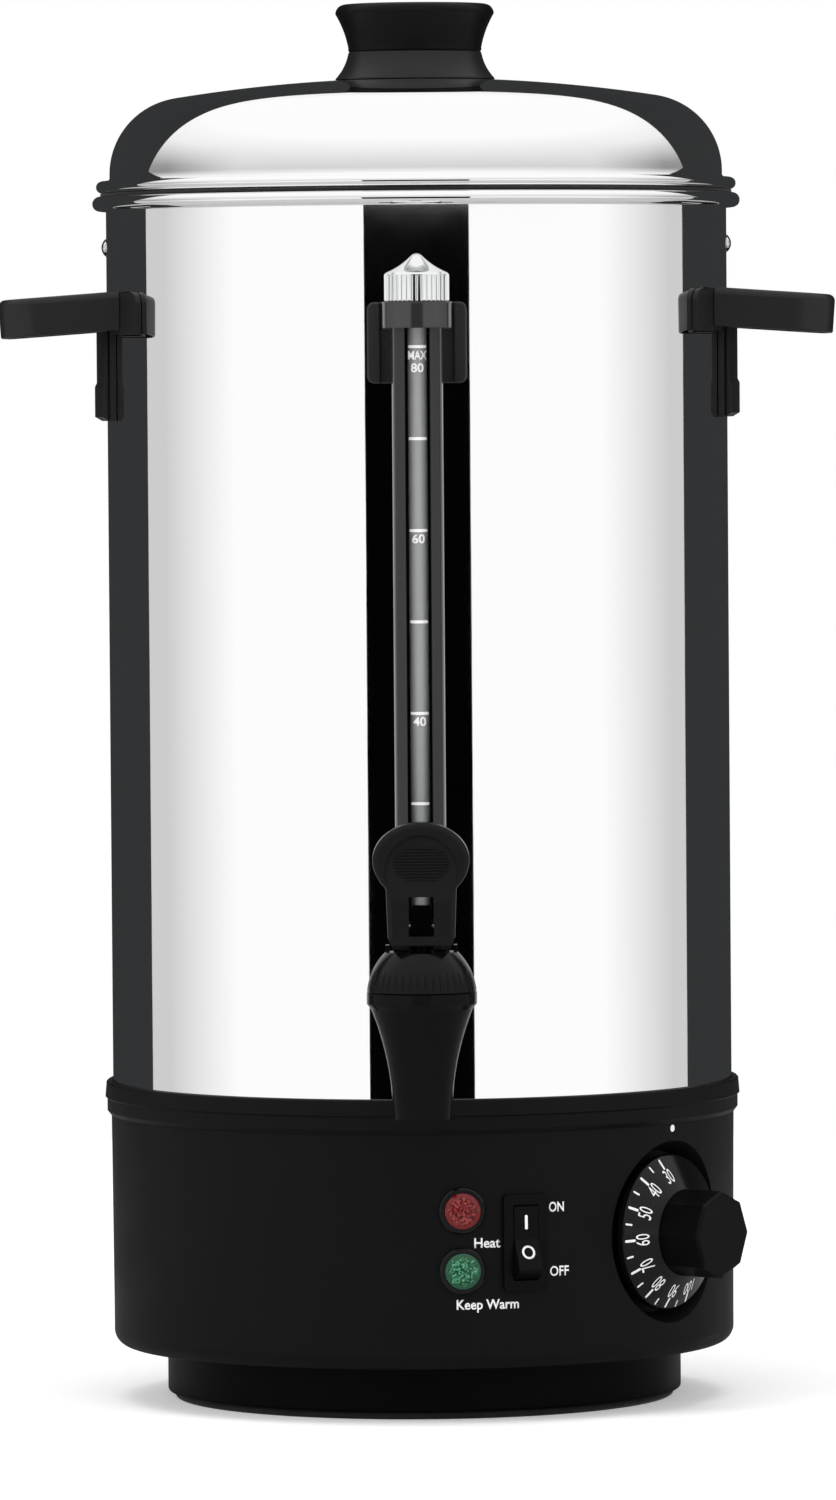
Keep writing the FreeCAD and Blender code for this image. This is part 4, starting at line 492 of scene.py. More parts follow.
def spin_outline(name: str, outline: Outline, steps: int) -> bpy.types.Object:
    """Draws an outline point by point and spins it about the vertical axis.

    Args:
        name: Name of the piece.
        outline: Reach and height of each point in millimetres; the last meets the first or the axis.
        steps: Number of steps in the full turn.

    Returns:
        The closed piece, with its normals outwards.
    """
    start_alone()
    bpy.ops.mesh.primitive_plane_add(size=MM)
    piece = bpy.context.active_object
    piece.name = name
    bpy.ops.object.mode_set(mode="EDIT")
    bpy.ops.mesh.merge(type="CENTER")
    reach, height = 0.0, 0.0
    for index, point in enumerate(outline):
        step = {"value": ((point[0] - reach) * MM, 0.0, (point[1] - height) * MM)}
        if index:
            bpy.ops.mesh.extrude_region_move(TRANSFORM_OT_translate=step)
        else:
            bpy.ops.transform.translate(**step)
        reach, height = point
    bpy.ops.mesh.select_all(action="SELECT")
    bpy.ops.mesh.remove_doubles(threshold=0.001 * MM)
    bpy.ops.mesh.spin(steps=steps, angle=2 * math.pi, center=(0.0, 0.0, 0.0), axis=UP)
    bpy.ops.mesh.select_all(action="SELECT")
    bpy.ops.mesh.remove_doubles(threshold=0.001 * MM)
    bpy.ops.mesh.normals_make_consistent(inside=False)
    bpy.ops.object.mode_set(mode="OBJECT")
    return piece


def smooth(piece: bpy.types.Object, angle: float = 30.0) -> None:
    """Shades a piece smooth, except at edges sharper than an angle in degrees."""
    select_only(piece)
    bpy.ops.object.shade_smooth_by_angle(angle=math.radians(angle))


def finish_piece(piece: bpy.types.Object, finish: Finish, body: str) -> None:
    """Dresses a new piece and ties it to its body.

    Args:
        piece: The piece.
        finish: Its finish.
        body: Name of the CAD body that it rides on.
    """
    piece.data.materials.clear()
    piece.data.materials.append(finish.material())
    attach(piece, body)
    log.info("made %s with %d faces", piece.name, len(piece.data.polygons))


def join(name: str, parts: list[bpy.types.Object]) -> bpy.types.Object:
    """Joins settled meshes to one piece.

    Args:
        name: Name of the joined piece.
        parts: The meshes.

    Returns:
        The piece.
    """
    start_alone()
    for part in parts:
        part.select_set(True)
    bpy.context.view_layer.objects.active = parts[0]
    bpy.ops.object.join()
    parts[0].name = name
    return parts[0]


def round_place(reach: float, azimuth: float, height: float, turn: float = 0.0) -> Matrix:
    """Where a flat thing lies that faces away from the drum's axis.

    Args:
        reach: Distance from the drum's axis in millimetres.
        azimuth: Degrees from the front towards the right.
        height: Height in millimetres.
        turn: Turn of the thing in its own plane, in degrees counter-clockwise.

    Returns:
        The matrix of its place, in metres.
    """
    about = Matrix.Rotation(math.radians(azimuth), 4, "Z")
    stand = Matrix.Rotation(math.radians(90.0), 4, "X")
    spin = Matrix.Rotation(math.radians(turn), 4, "Z")
    return about @ Matrix.Translation(Vector((0.0, -reach, height)) * MM) @ stand @ spin


class Side(Enum):
    """A side of the urn as the camera sees it, with the sign of its X."""

    LEFT = -1
    RIGHT = 1


@dataclass(frozen=True)
class Lettering:
    """Plain sans lettering, printed as a thin film."""

    cap_height: float = 3.5
    width: float = 1.0
    weight: float = 0.0
    film: float = 0.05
    film_share: float = 0.6
    cap_share: float = 0.73
    end_round: float = 0.42

    def word(self, text: str, place: Matrix) -> bpy.types.Object:
        """Sets a word in the plane of its place.

        Args:
            text: What it says.
            place: Where its middle is.

        Returns:
            The word as a mesh, its transform not yet applied.
        """
        start_alone()
        bpy.ops.object.text_add()
        made = bpy.context.active_object
        made.data.body = text
        made.data.size = self.cap_height * MM / self.cap_share
        made.data.offset = self.weight * made.data.size
        made.data.resolution_u = 4
        made.data.align_x = "CENTER"
        made.data.align_y = "CENTER"
        bpy.ops.object.convert(target="MESH")
        made.matrix_world = place @ Matrix.Diagonal((self.width, 1.0, 1.0, 1.0))
        return made

    def lay_on(self, word: bpy.types.Object, ground: bpy.types.Object) -> None:
        """Presses a mesh that hangs before a surface on to it, and gives the film its thickness.

        Args:
            word: The flat mesh, facing away from the surface.
            ground: What it is printed on.
        """
        select_only(word)
        press = word.modifiers.new("press", "SHRINKWRAP")
        press.target = ground
        press.wrap_method = "PROJECT"
        press.use_project_z = True
        press.use_negative_direction = True
        press.use_positive_direction = True
        press.offset = self.film * MM
        bpy.ops.object.modifier_apply(modifier=press.name)
        film = word.modifiers.new("film", "SOLIDIFY")
        film.thickness = self.film * self.film_share * MM
        bpy.ops.object.modifier_apply(modifier=film.name)
        settle(word)

    def bar(self, length: float, thickness: float, place: Matrix) -> bpy.types.Object:
        """A printed bar with rounded ends.

        Args:
            length: Length along its own X in millimetres.
            thickness: Its width in millimetres.
            place: Where its middle is.

        Returns:
            The bar as a mesh, its transform not yet applied.
        """
        start_alone()
        bpy.ops.mesh.primitive_plane_add(size=MM)
        made = bpy.context.active_object
        bpy.ops.object.mode_set(mode="EDIT")
        bpy.ops.transform.resize(value=(length, thickness, 1.0))
        bpy.ops.mesh.bevel(offset=thickness * self.end_round * MM, segments=4, affect="VERTICES")
        bpy.ops.object.mode_set(mode="OBJECT")
        made.matrix_world = place
        return made


@dataclass
class Drum:
    """The tank with its rolled rim."""

    wall: float = 0.8
    rim_reach: float = 4.8
    rim_bead: float = 2.6
    floor_rise: float = 14.2
    floor_round: float = 4.0
    end_height: float = 60.0
    steps: int = 288
    radius: float = field(init=False)
    low: float = field(init=False)
    high: float = field(init=False)

    def __post_init__(self) -> None:
        """Takes the drum's place from the frame."""
        low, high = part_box("tank")
        self.radius = min(high.x, high.y) / MM - self.rim_reach
        self.low = low.z / MM
        self.high = high.z / MM

    def outline(self) -> Outline:
        """Section of the drum: wall, rolled rim, wall inside and floor."""
        inside = self.radius - self.wall
        bead = (self.radius + self.rim_reach - self.rim_bead, self.high - self.rim_bead)
        under = math.degrees(math.acos((bead[0] - self.radius) / self.rim_bead))
        floor = self.low + self.floor_rise
        corner = (inside - self.floor_round, floor + self.wall + self.floor_round)
        return [
            (inside, self.low),
            (self.radius, self.low),
            (self.radius, self.low + self.end_height),
            (self.radius, self.high - self.end_height),
            *arc(bead, self.rim_bead, under - 180.0, 90.0, 16),
            (self.radius, self.high),
            (inside, self.high - self.wall),
            *arc(corner, self.floor_round, 0.0, -90.0, 6),
            (0.0, floor + self.wall),
            (0.0, floor),
            (inside, floor),
            (inside, self.low),
        ]

    def build(self) -> None:
        """Builds and dresses the drum and what holds the lid on it."""
        drum = spin_outline("drum", self.outline(), self.steps)
        smooth(drum)
        finish_piece(drum, MIRROR_STAINLESS, "root")
        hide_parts("tank")
        dress(MIRROR_STAINLESS, "lid_lock_studs")


@dataclass
class Lid:
    """The domed lid with its bead, lock ring, seal and knob."""

    wall: float = 0.8
    bead: float = 2.1
    bead_proud: float = 3.4
    side_inset: float = 1.4
    skirt: float = 6.6
    neck_drop: float = 1.4
    neck_flare: float = 0.5
    shoulder: float = 27.0
    crown: float = 550.0
    knob_hole: float = 2.7
    steps: int = 288
    drum_radius: float = field(init=False)
    low: float = field(init=False)

    def __post_init__(self) -> None:
        """Takes the lid's place from the frame."""
        low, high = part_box("lid_shell")
        self.drum_radius = high.x / MM - self.bead_proud
        self.low = low.z / MM

    def outline(self) -> Outline:
        """Section of the lid: crown, shoulder, skirt and bead, and the same inside."""
        side = self.drum_radius - self.side_inset
        skirt_top = self.low + self.skirt
        reach = side - self.shoulder
        centre = skirt_top - math.sqrt((self.crown - self.shoulder) ** 2 - reach ** 2)
        join_angle = math.degrees(math.acos(reach / (self.crown - self.shoulder)))
        hole_angle = math.degrees(math.acos(self.knob_hole / self.crown))
        bead_centre = (self.drum_radius + self.bead_proud - self.bead, self.low + self.bead)
        inside = side - self.wall
        return [
            *arc((0.0, centre), self.crown, hole_angle, join_angle, 30),
            *arc((reach, skirt_top), self.shoulder, join_angle, 0.0, 40)[1:],
            (side, skirt_top - self.neck_drop),
            (side + self.neck_flare, bead_centre[1] + self.bead),
            *arc(bead_centre, self.bead, 90.0, -90.0, 14),
            (inside, self.low),
            *arc((reach, skirt_top), self.shoulder - self.wall, 0.0, join_angle, 24),
            *arc((0.0, centre), self.crown - self.wall, join_angle, hole_angle, 16)[1:],
            arc((0.0, centre), self.crown, hole_angle, join_angle, 1)[0],
        ]

    def build(self) -> None:
        """Builds and dresses the lid."""
        shell = spin_outline("lid_dome", self.outline(), self.steps)
        smooth(shell)
        finish_piece(shell, MIRROR_STAINLESS, "lid")
        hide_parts("lid_shell")
        dress(SATIN_STEEL, "lid_lock_ring", "lid_knob_screw", "lid_knob_washer")
        dress(HANDLE_PLASTIC, "lid_knob_base")
        dress(KNOB_PLASTIC, "lid_knob")
        dress(SEAL_SILICONE_PAINTED_SHADE, "lid_seal")


@dataclass
class Handles:
    """The two side handles on their mounts."""

    def build(self) -> None:
        """Dresses the handles, their mounts and screws."""
        for side in Side:
            name = side.name.lower()
            dress(HANDLE_PLASTIC, f"handle_{name}", f"handle_mount_{name}")
        dress(SATIN_STEEL, "handle_screws")


@dataclass
class Gauge:
    """The level gauge: glass tube, shield, bracket and cap, with its printed scale."""

    mark_heights: tuple[float, ...] = (372.6, 341.1, 309.6, 278.3, 246.9, 215.9)
    mark_length: float = 6.2
    mark_width: float = 0.95
    letter_height: float = 3.1
    words: tuple[tuple[str, float, float], ...] = (
        ("MAX", 369.5, 0.72), ("80", 365.2, 1.08), ("60", 306.6, 1.08), ("40", 243.9, 1.08),
    )
    letter_weight: float = 0.012
    print_gap: float = 1.0
    strip_width: float = 0.6
    cuts_each_side: int = 5
    reach: float = field(init=False)
    tube_radius: float = field(init=False)

    def __post_init__(self) -> None:
        """Takes the tube's place from the frame."""
        low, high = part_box("gauge_tube")
        self.tube_radius = (high.x - low.x) / 2 / MM
        self.reach = -low.y / MM - self.tube_radius

    def scale(self) -> bpy.types.Object:
        """Prints the marks and numbers on the front of the tube."""
        film = Lettering()
        front = self.reach + self.tube_radius + self.print_gap
        prints = [film.bar(self.mark_length, self.mark_width, round_place(front, 0.0, z))
                  for z in self.mark_heights]
        for text, height, width in self.words:
            letters = Lettering(self.letter_height, width, self.letter_weight)
            prints.append(letters.word(text, round_place(front, 0.0, height)))
        for item in prints:
            self.cut_across(item)
            film.lay_on(item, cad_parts["gauge_tube"])
        return join("gauge_scale", prints)

    def cut_across(self, item: bpy.types.Object) -> None:
        """Cuts a flat print into narrow strips, so that it can wrap the tube.

        Args:
            item: The flat print.
        """
        select_only(item)
        bpy.ops.object.mode_set(mode="EDIT")
        for step in range(-self.cuts_each_side, self.cuts_each_side + 1):
            bpy.ops.mesh.select_all(action="SELECT")
            cut = Vector((step * self.strip_width * MM, 0.0, 0.0))
            bpy.ops.mesh.bisect(plane_co=cut, plane_no=(1.0, 0.0, 0.0))
        bpy.ops.object.mode_set(mode="OBJECT")

    def build(self) -> None:
        """Dresses the gauge and prints its scale."""
        dress(GAUGE_GLASS, "gauge_tube")
        dress(SHIELD_PLASTIC, "gauge_shield")
        dress(BRACKET_PLASTIC, "gauge_bracket")
        dress(CHROME_PLATE, "gauge_cap")
        dress(SILICONE, "gauge_seals")
        dress(SATIN_STEEL, "gauge_bracket_screws")
        finish_piece(self.scale(), SCALE_INK, "root")


@dataclass
class Tap:
    """The lever tap with its bonnet, stem and spring."""

    def build(self) -> None:
        """Dresses the tap."""
        dress(TAP_PLASTIC, "tap_body", "tap_stem", "tap_lock_nut")
        dress(LEVER_PLASTIC, "tap_lever")
        dress(BONNET_PLASTIC, "tap_bonnet")
        dress(SILICONE, "tap_seals", "tap_seat_cup")
        dress(SATIN_STEEL, "tap_spring", "lever_pin")


@dataclass
class Base:
    """The moulded base with its collar, foot and cord gland."""

    def build(self) -> None:
        """Dresses the base."""
        dress(BASE_PLASTIC, "base_shell", "base_collar", "cord_gland", "cord_gland_nut")
        dress(FOOT_PAINTED_SHADE_PLASTIC, "base_plate")
        dress(FOOT_RUBBER, "foot_ring")
        dress(SATIN_STEEL, "tie_rods", "tie_rod_nuts")


@dataclass
class Dial:
    """The thermostat's dial with its printed scale and the pointer dot above it."""

    azimuth: float = 52.0
    height: float = 63.0
    first_value: int = 30
    value_step: int = 10
    values: int = 8
    first_turn: float = 14.4
    turn_step: float = 26.3
    long_tick: float = 3.55
    short_tick: float = 2.3
    long_tick_width: float = 0.9
    short_tick_width: float = 0.65
    rim_margin: float = 0.6
    number_drop: float = 6.8
    number_height: float = 4.8
    number_width: float = 0.66
    print_gap: float = 10.0
    dot_reach: float = 112.0
    dot_rise: float = 36.3
    dot_size: float = 2.4
    radius: float = field(init=False)
    reach: float = field(init=False)

    def __post_init__(self) -> None:
        """Takes the dial's size and place from the frame."""
        low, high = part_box("dial_disc")
        self.radius = (high.z - low.z) / 2 / MM
        across = math.radians(self.azimuth)
        middle = (low + high) / 2
        self.reach = (middle.x * math.sin(across) - middle.y * math.cos(across)) / MM

    def place(self, around_turn: float, radius: float, turn: float) -> Matrix:
        """Place of a print on the dial.

        Args:
            around_turn: Degrees counter-clockwise from the dial's top.
            radius: Distance from the dial's middle in millimetres.
            turn: Turn in its own plane in degrees.

        Returns:
            The matrix of the place.
        """
        around = Matrix.Rotation(math.radians(around_turn), 4, "Z")
        out = Matrix.Translation((0.0, radius * MM, 0.0))
        own = Matrix.Rotation(math.radians(turn), 4, "Z")
        return round_place(self.reach + self.print_gap, self.azimuth, self.height) @ around @ out @ own

    def scale(self) -> bpy.types.Object:
        """Prints a long tick and a number at each ten, and a short tick between them."""
        film = Lettering(self.number_height, self.number_width)
        prints = []
        for half in range(2 * self.values - 1):
            turn = self.first_turn + half * self.turn_step / 2
            tens = half % 2 == 0
            length, width = ((self.long_tick, self.long_tick_width) if tens
                             else (self.short_tick, self.short_tick_width))
            middle = self.radius - self.rim_margin - length / 2
            prints.append(film.bar(length, width, self.place(turn, middle, 90.0)))
            if tens:
                value = str(self.first_value + half // 2 * self.value_step)
                prints.append(film.word(value, self.place(turn, self.radius - self.number_drop, 0.0)))
        for item in prints:
            film.lay_on(item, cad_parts["dial_disc"])
        return join("dial_scale", prints)

    def pointer(self) -> bpy.types.Object:
        """Prints the dot on the base above the dial."""
        film = Lettering()
        place = round_place(self.dot_reach, self.azimuth, self.height + self.dot_rise)
        dot = film.bar(self.dot_size, self.dot_size, place)
        film.lay_on(dot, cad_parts["base_shell"])
        dot.name = "dial_pointer"
        return dot

    def build(self) -> None:
        """Dresses the thermostat and prints its dial."""
        dress(DIAL_PLASTIC, "dial_disc")
        dress(GRIP_PLASTIC, "thermostat_grip")
        dress(PRESSED_RESIN, "thermostat_body")
        dress(SATIN_STEEL, "thermostat_screws", "thermostat_shaft", "bulb_clips")
        dress(DRAWN_COPPER, "thermostat_bulb", "capillary_tube")
        finish_piece(self.scale(), WHITE_INK, "dial")
        finish_piece(self.pointer(), WHITE_INK, "root")


@dataclass(frozen=True)
class Lens:
    """A pilot lamp's lens with a field of small prisms on its dome."""

    node: str
    name: str
    slot: str
    body_finish: Finish
    prism_finish: Finish
    turn: float
    pitch: float
    groove: float
    azimuth: float = 6.9
    field_radius: float = 4.7
    prism_height: float = 0.35
    cells: int = 12
    print_gap: float = 2.0
    film: float = 0.06
    facing: float = 0.5

    def prisms(self) -> bpy.types.Object:
        """Moulds the prisms: a round patch of squares on the dome, each drawn out to a point."""
        low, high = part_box(self.node)
        height = (low.z + high.z) / 2 / MM
        reach = Vector(((low.x + high.x) / 2, low.y, 0.0)).length / MM + self.print_gap
        place = round_place(reach, self.azimuth, height)
        start_alone()
        bpy.ops.mesh.primitive_grid_add(x_subdivisions=self.cells, y_subdivisions=self.cells,
                                        size=self.cells * self.pitch * MM)
        patch = bpy.context.active_object
        bpy.ops.object.mode_set(mode="EDIT")
        bpy.ops.mesh.select_mode(type="FACE")
        bpy.ops.mesh.select_all(action="DESELECT")
        bpy.ops.object.mode_set(mode="OBJECT")
        for face in patch.data.polygons:
            face.select = face.center.length > self.field_radius * MM
        bpy.ops.object.mode_set(mode="EDIT")
        bpy.ops.mesh.delete(type="FACE")
        bpy.ops.object.mode_set(mode="OBJECT")
        patch.matrix_world = place @ Matrix.Rotation(math.radians(self.turn), 4, "Z")
        Lettering(film=self.film).lay_on(patch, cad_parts[self.node])
        front = round_place(0.0, self.azimuth, 0.0).to_3x3() @ UP
        for face in patch.data.polygons:
            face.select = face.normal.dot(front) > self.facing
        select_only(patch)
        bpy.ops.object.mode_set(mode="EDIT")
        bpy.ops.mesh.inset(thickness=self.groove * MM, use_individual=True)
        bpy.ops.mesh.poke(offset=self.prism_height * MM)
        bpy.ops.object.mode_set(mode="OBJECT")
        patch.name = self.name
        return patch

    def build(self) -> None:
        """Dresses the lens and moulds its prisms."""
        dress(self.body_finish, self.node)
        finish_piece(self.prisms(), self.prism_finish, "root")


@dataclass
class Controls:
    """The rocker switch and the pilot lamps with their printed words."""

    switch_azimuth: float = 18.4
    on_mark_height: float = 70.1
    off_mark_height: float = 59.6
    line_size: tuple[float, float] = (5.0, 1.0)
    ring_height: float = 4.6
    ring_weight: float = 0.01
    mark_reach: float = 116.0
    word_reach: float = 113.0
    word_weight: float = 0.018
    words: tuple[tuple[str, float, float, float], ...] = (
        ("ON", 24.65, 74.7, 0.79), ("OFF", 25.15, 52.4, 0.88),
        ("Heat", 11.4, 63.0, 1.0), ("Keep Warm", 11.55, 41.7, 0.93),
    )
    lenses: tuple[Lens, Lens] = (
        Lens("lamp_lens_heat", "heat_lamp_prisms", "red_lens", RED_LENS, RED_PRISMS,
             turn=45.0, pitch=0.8, groove=0.08),
        Lens("lamp_lens_warm", "warm_lamp_prisms", "green_lens", GREEN_LENS, GREEN_PRISMS,
             turn=0.0, pitch=1.3, groove=0.32),
    )

    def words_on_base(self) -> bpy.types.Object:
        """Prints the words beside the switch and the lamps."""
        prints = []
        for text, azimuth, height, width in self.words:
            film = Lettering(width=width, weight=self.word_weight)
            word = film.word(text, round_place(self.word_reach, azimuth, height))
            film.lay_on(word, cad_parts["base_shell"])
            prints.append(word)
        return join("control_words", prints)

    def rocker_marks(self) -> bpy.types.Object:
        """Prints the line of the on side and the ring of the off side on the rocker."""
        film = Lettering(self.ring_height, weight=self.ring_weight)
        upright = round_place(self.mark_reach, self.switch_azimuth, self.on_mark_height, 90.0)
        line = film.bar(*self.line_size, upright)
        ring = film.word("O", round_place(self.mark_reach, self.switch_azimuth, self.off_mark_height))
        for item in (line, ring):
            film.lay_on(item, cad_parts["switch_rocker"])
        return join("rocker_marks", [line, ring])

    def build(self) -> None:
        """Dresses the switch and lamps and prints their words."""
        dress(SWITCH_PLASTIC, "switch_frame", "switch_rocker")
        dress(LAMP_PLASTIC, "lamp_housings")
        dress(STAMPED_BRASS, "switch_terminals")
        for lens in self.lenses:
            lens.build()
        finish_piece(self.words_on_base(), WHITE_INK, "root")
        finish_piece(self.rocker_marks(), WHITE_INK, "rocker")


@dataclass
class Heating:
    """What heats the drum, inside the base."""

    def build(self) -> None:
        """Dresses the heater, its guards and the wiring."""
        dress(CAST_ALUMINIUM, "heater_plate")
        dress(TINTED_STEEL, "heating_element")
        dress(SATIN_STEEL, "thermal_cutout", "heat_shield")
        dress(STAMPED_BRASS, "earth_stud")
        dress(WHITE_PLASTIC, "terminal_block")
        dress(WIRE_SILICONE, "wiring")


@dataclass(frozen=True)
class MattBlack(Finish):
    """Black studio cloth, which the metal mirrors as dark bands."""

    def constants(self) -> dict:
        """Cloth without any gloss."""
        return super().constants() | {"Specular IOR Level": 0.0}


@dataclass(frozen=True)
class StudioFloor(Finish):
    """Pale matt table top that keeps the shadow, looks white to the camera and pale grey in metal."""

    lift: float = 0.25
    mirrored: str = "#B4B4B4"

    def surface(self, tree: Tree, place: Socket) -> Socket:
        """A matt surface with a little light of its own for what the camera sees of it."""
        path = add_node(tree, "ShaderNodeLightPath").outputs
        tone = add_node(tree, "ShaderNodeMix", {
            "data_type": "RGBA", 6: to_linear(self.colour), 7: to_linear(self.mirrored),
        }, {0: path["Is Glossy Ray"]})
        matt = add_node(tree, "ShaderNodeBsdfPrincipled", {"Specular IOR Level": 0.0},
                        self.pattern(tree, place) | {"Base Color": tone.outputs[2]})
        share = add_node(tree, "ShaderNodeMath", {"operation": "MULTIPLY", 1: self.lift},
                         {0: path["Is Camera Ray"]})
        glow = add_node(tree, "ShaderNodeEmission", {}, {"Strength": share.outputs["Value"]})
        both = add_node(tree, "ShaderNodeAddShader", {},
                        {0: matt.outputs["BSDF"], 1: glow.outputs["Emission"]})
        return both.outputs["Shader"]


FRONT_CLOTH = MattBlack("black_studio_cloth", "#030304", 1.0)
BACK_CLOTH = MattBlack("charcoal_studio_cloth", "#3A3B3C", 1.0)


@dataclass(frozen=True)
class Fade:
    """A brightness that fades from one value to another along an axis of the surroundings."""

    axis: str
    start: float
    end: float
    first: float
    last: float

    def level(self, tree: Tree, way: Socket) -> Socket:
        """The brightness in a direction.

        Args:
            tree: Node tree of the world.
            way: The direction.

        Returns:
            The brightness's socket.
        """
        parts = add_node(tree, "ShaderNodeSeparateXYZ", {}, {"Vector": way})
        limits = {
            "From Min": self.start, "From Max": self.end, "To Min": self.first, "To Max": self.last,
        }
        fade = add_node(tree, "ShaderNodeMapRange", limits, {"Value": parts.outputs[self.axis]})
        return fade.outputs["Result"]


@dataclass(frozen=True)
class Softbox:
    """A soft square lamp that stays out of reflections; place and size in metres, power in watts."""

    name: str
    place: tuple[float, float, float]
    size: float
    power: float

    def hang(self, aim: tuple[float, float, float]) -> None:
        """Hangs the lamp.

        Args:
            aim: Where it points, in metres.
        """
        start_alone()
        place = Vector(self.place)
        bpy.ops.object.light_add(type="AREA", location=place)
        lamp = bpy.context.active_object
        lamp.name = self.name
        lamp.data.size = self.size
        lamp.data.energy = self.power
        lamp.rotation_euler = (Vector(aim) - place).to_track_quat("-Z", "Y").to_euler()
        lamp.visible_glossy = False


@dataclass
class Studio:
    """White surroundings, soft lamps, a pale table and the dark cloths that the steel mirrors."""

    ambient: float = 0.62
    above_eye: Fade = Fade("Z", start=0.0175, end=0.0205, first=0.0, last=1.0)
    upwards: Fade = Fade("Z", start=0.015, end=0.7, first=0.34, last=0.0)
    behind: Fade = Fade("Y", start=-0.32, end=0.3, first=0.0, last=0.38)
    behind_upwards: Fade = Fade("Z", start=0.1, end=0.45, first=1.0, last=0.0)
    below: Fade = Fade("Z", start=-0.35, end=-0.085, first=0.7, last=1.0)
    lamps: tuple[Softbox, ...] = (
        Softbox("left_softbox", (-2.2, -1.6, 1.7), size=1.6, power=34.0),
        Softbox("right_softbox", (2.2, -1.6, 1.7), size=1.6, power=21.0),
        Softbox("top_softbox", (0.0, -0.4, 2.4), size=1.8, power=26.0),
    )
    lamp_aim: tuple[float, float, float] = (0.0, 0.0, 0.2)
    floor_radius: float = 1.2
    floor_corners: int = 96
    floor_height: float = -0.02 * MM
    cloth_radius: float = 4.2
    cloth_steps: int = 256
    cap_rings: int = 80
    cloth_low: float = -3.0
    front_half_angle: float = 19.0
    front_top: float = 0.492
    back_azimuth: float = 178.5
    back_half_angle: float = 63.2
    back_top: float = 0.53
    cloth_high: float = 5.0
    cloth_lap: float = 0.01
    cap_centre: float = 0.45
    cap_share: float = 0.8567
    cap_slant: tuple[float, float, float] = (0.608, 0.986, 0.223)

    def surroundings(self) -> None:
        """White world, plainer where it lights things than where it is seen."""
        world = bpy.data.worlds.new("white_surroundings")
        world.use_nodes = True
        bpy.context.scene.world = world
        tree = world.node_tree
        tree.nodes.clear()
        mirrored = add_node(tree, "ShaderNodeLightPath").outputs["Is Glossy Ray"]
        strength = add_node(tree, "ShaderNodeMix", {}, {
            0: mirrored, 2: self.seen_level(tree), 3: self.mirrored_level(tree),
        })
        sky = add_node(tree, "ShaderNodeBackground", {"Color": (1.0, 1.0, 1.0, 1.0)},
                       {"Strength": strength.outputs[0]})
        add_node(tree, "ShaderNodeOutputWorld", {}, {"Surface": sky.outputs["Background"]})

    def seen_level(self, tree: Tree) -> Socket:
        """Full brightness for what is seen, directly or in metal and glass, and less for the rest.

        Args:
            tree: Node tree of the world.

        Returns:
            The strength's socket.
        """
        path = add_node(tree, "ShaderNodeLightPath").outputs
        shown = path["Is Camera Ray"]
        for kind in ("Is Glossy Ray", "Is Transmission Ray"):
            either = add_node(tree, "ShaderNodeMath", {"operation": "MAXIMUM"},
                              {0: shown, 1: path[kind]})
            shown = either.outputs["Value"]
        limits = {"To Min": self.ambient, "To Max": 1.0}
        return add_node(tree, "ShaderNodeMapRange", limits, {"Value": shown}).outputs["Result"]

    def mirrored_level(self, tree: Tree) -> Socket:
        """Brightness that metal mirrors: white, but greyer behind the urn, at eye level and below.

        Args:
            tree: Node tree of the world.

        Returns:
            The strength's socket.
        """
        way = add_node(tree, "ShaderNodeTexCoord").outputs["Generated"]
        above, upwards, behind, behind_upwards, below = (
            fade.level(tree, way)
            for fade in (self.above_eye, self.upwards, self.behind, self.behind_upwards, self.below)
        )
        back = add_node(tree, "ShaderNodeMath", {"operation": "MULTIPLY"},
                        {0: behind, 1: behind_upwards})
        grey = add_node(tree, "ShaderNodeMath", {"operation": "MULTIPLY_ADD"},
                        {0: above, 1: upwards, 2: back.outputs["Value"]})
        level = add_node(tree, "ShaderNodeMath", {"operation": "SUBTRACT"},
                         {0: below, 1: grey.outputs["Value"]})
        return level.outputs["Value"]

    def floor(self) -> None:
        """Lays the round table top, just under the foot."""
        start_alone()
        bpy.ops.mesh.primitive_circle_add(vertices=self.floor_corners, radius=self.floor_radius,
                                          fill_type="NGON", location=(0.0, 0.0, self.floor_height))
        table = bpy.context.active_object
        table.name = "table_top"
        table.data.materials.append(StudioFloor("pale_matt_table", "#F2F2F2", 0.9).material())

    def cloth(self, name: str, azimuth: float, half_angle: float, top: float, finish: Finish) -> None:
        """Hangs a curved dark cloth.

        Args:
            name: Name of the cloth.
            azimuth: Degrees from the front to its middle.
            half_angle: Degrees from its middle to its side edges.
            top: Height of its top edge in metres.
            finish: What it is made of.
        """
        start_alone()
        middle = (self.cloth_low + self.cloth_high) / 2
        bpy.ops.mesh.primitive_cylinder_add(vertices=self.cloth_steps, radius=self.cloth_radius,
                                            end_fill_type="NOTHING", location=(0, 0, middle),
                                            depth=self.cloth_high - self.cloth_low)
        cloth = bpy.context.active_object
        cloth.name = name
        bpy.ops.object.transform_apply(location=True)
        bpy.ops.object.mode_set(mode="EDIT")
        for side in (-1, 1):
            turn = math.radians(azimuth + side * half_angle)
            outwards = Vector((math.cos(turn), math.sin(turn), 0.0)) * side
            bpy.ops.mesh.select_all(action="SELECT")
            bpy.ops.mesh.bisect(plane_co=(0, 0, 0), plane_no=outwards, clear_outer=True)
        bpy.ops.mesh.select_all(action="SELECT")
        bpy.ops.mesh.bisect(plane_co=(0, 0, top), plane_no=UP, clear_outer=True)
        bpy.ops.object.mode_set(mode="OBJECT")
        self.hang(cloth, finish)

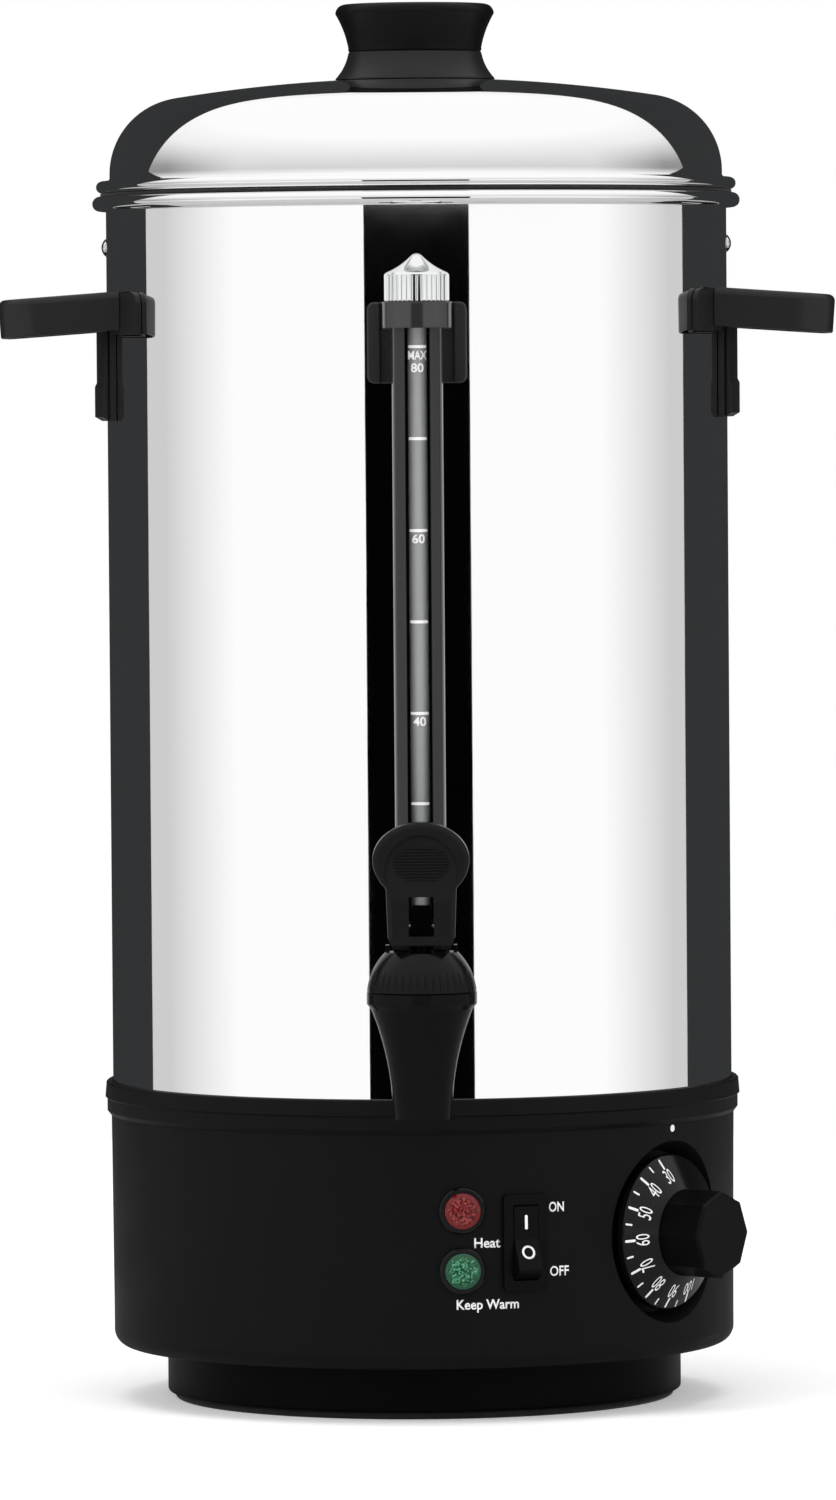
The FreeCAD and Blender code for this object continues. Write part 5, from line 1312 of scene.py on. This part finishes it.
    def round_cloth(self, side: Side) -> None:
        """Hangs a bowl-shaped dark cloth over the back of one side, with a round edge.

        Args:
            side: The side that it hangs on.
        """
        start_alone()
        centre = Vector((0.0, 0.0, self.cap_centre))
        bpy.ops.mesh.primitive_uv_sphere_add(segments=self.cloth_steps // 2, ring_count=self.cap_rings,
                                             radius=self.cloth_radius, location=centre)
        cloth = bpy.context.active_object
        cloth.name = f"round_cloth_{side.name.lower()}"
        bpy.ops.object.transform_apply(location=True)
        across, back, up = self.cap_slant
        slant = Vector((across * side.value, back, up)).normalized()
        bpy.ops.object.mode_set(mode="EDIT")
        for edge, normal in ((centre + slant * self.cap_share * self.cloth_radius, slant),
                             (UP * (self.back_top - self.cloth_lap), UP)):
            bpy.ops.mesh.select_all(action="SELECT")
            bpy.ops.mesh.bisect(plane_co=edge, plane_no=normal, clear_inner=True)
        bpy.ops.object.mode_set(mode="OBJECT")
        self.hang(cloth, BACK_CLOTH)

    def hang(self, cloth: bpy.types.Object, finish: Finish) -> None:
        """Dresses a cloth, and leaves it to reflections alone.

        Args:
            cloth: The cloth.
            finish: What it is made of.
        """
        cloth.data.materials.append(finish.material())
        cloth.visible_camera = False
        cloth.visible_diffuse = False
        cloth.visible_transmission = False
        cloth.visible_shadow = False

    def build(self) -> None:
        """Sets up the light and what surrounds the urn."""
        self.surroundings()
        self.floor()
        for lamp in self.lamps:
            lamp.hang(self.lamp_aim)
        self.cloth("front_cloth", 0.0, self.front_half_angle, self.front_top, FRONT_CLOTH)
        self.cloth("back_cloth", self.back_azimuth, self.back_half_angle, self.back_top, BACK_CLOTH)
        for side in Side:
            self.round_cloth(side)


@dataclass
class Camera:
    """The photograph's view: far off, a little above the urn's middle."""

    distance: float = 3.580
    height: float = 0.3681
    aim_height: float = 0.2295
    sideways: float = -0.0007
    lens: float = 241.9
    sensor: float = 36.0
    roll: float = -0.424

    def build(self) -> None:
        """Adds the camera and makes it the scene's own."""
        place = Vector((self.sideways, -self.distance, self.height))
        aim = Vector((self.sideways, 0.0, self.aim_height))
        start_alone()
        bpy.ops.object.camera_add(location=place)
        camera = bpy.context.active_object
        camera.name = "photograph_view"
        camera.data.lens = self.lens
        camera.data.sensor_width = self.sensor
        camera.data.clip_end = 50.0
        camera.rotation_mode = "QUATERNION"
        roll = Quaternion((0.0, 0.0, 1.0), math.radians(self.roll))
        camera.rotation_quaternion = (aim - place).to_track_quat("-Z", "Y") @ roll
        bpy.context.scene.camera = camera


def main() -> None:
    """Builds the urn and its studio in order."""
    logging.basicConfig(level=logging.INFO, format="%(message)s")
    bpy.context.scene.view_settings.view_transform = "Standard"
    Camera().build()
    for assembly in (Drum, Lid, Handles, Gauge, Tap, Base, Dial, Controls, Heating, Studio):
        assembly().build()


if __name__ == "__main__":
    main()
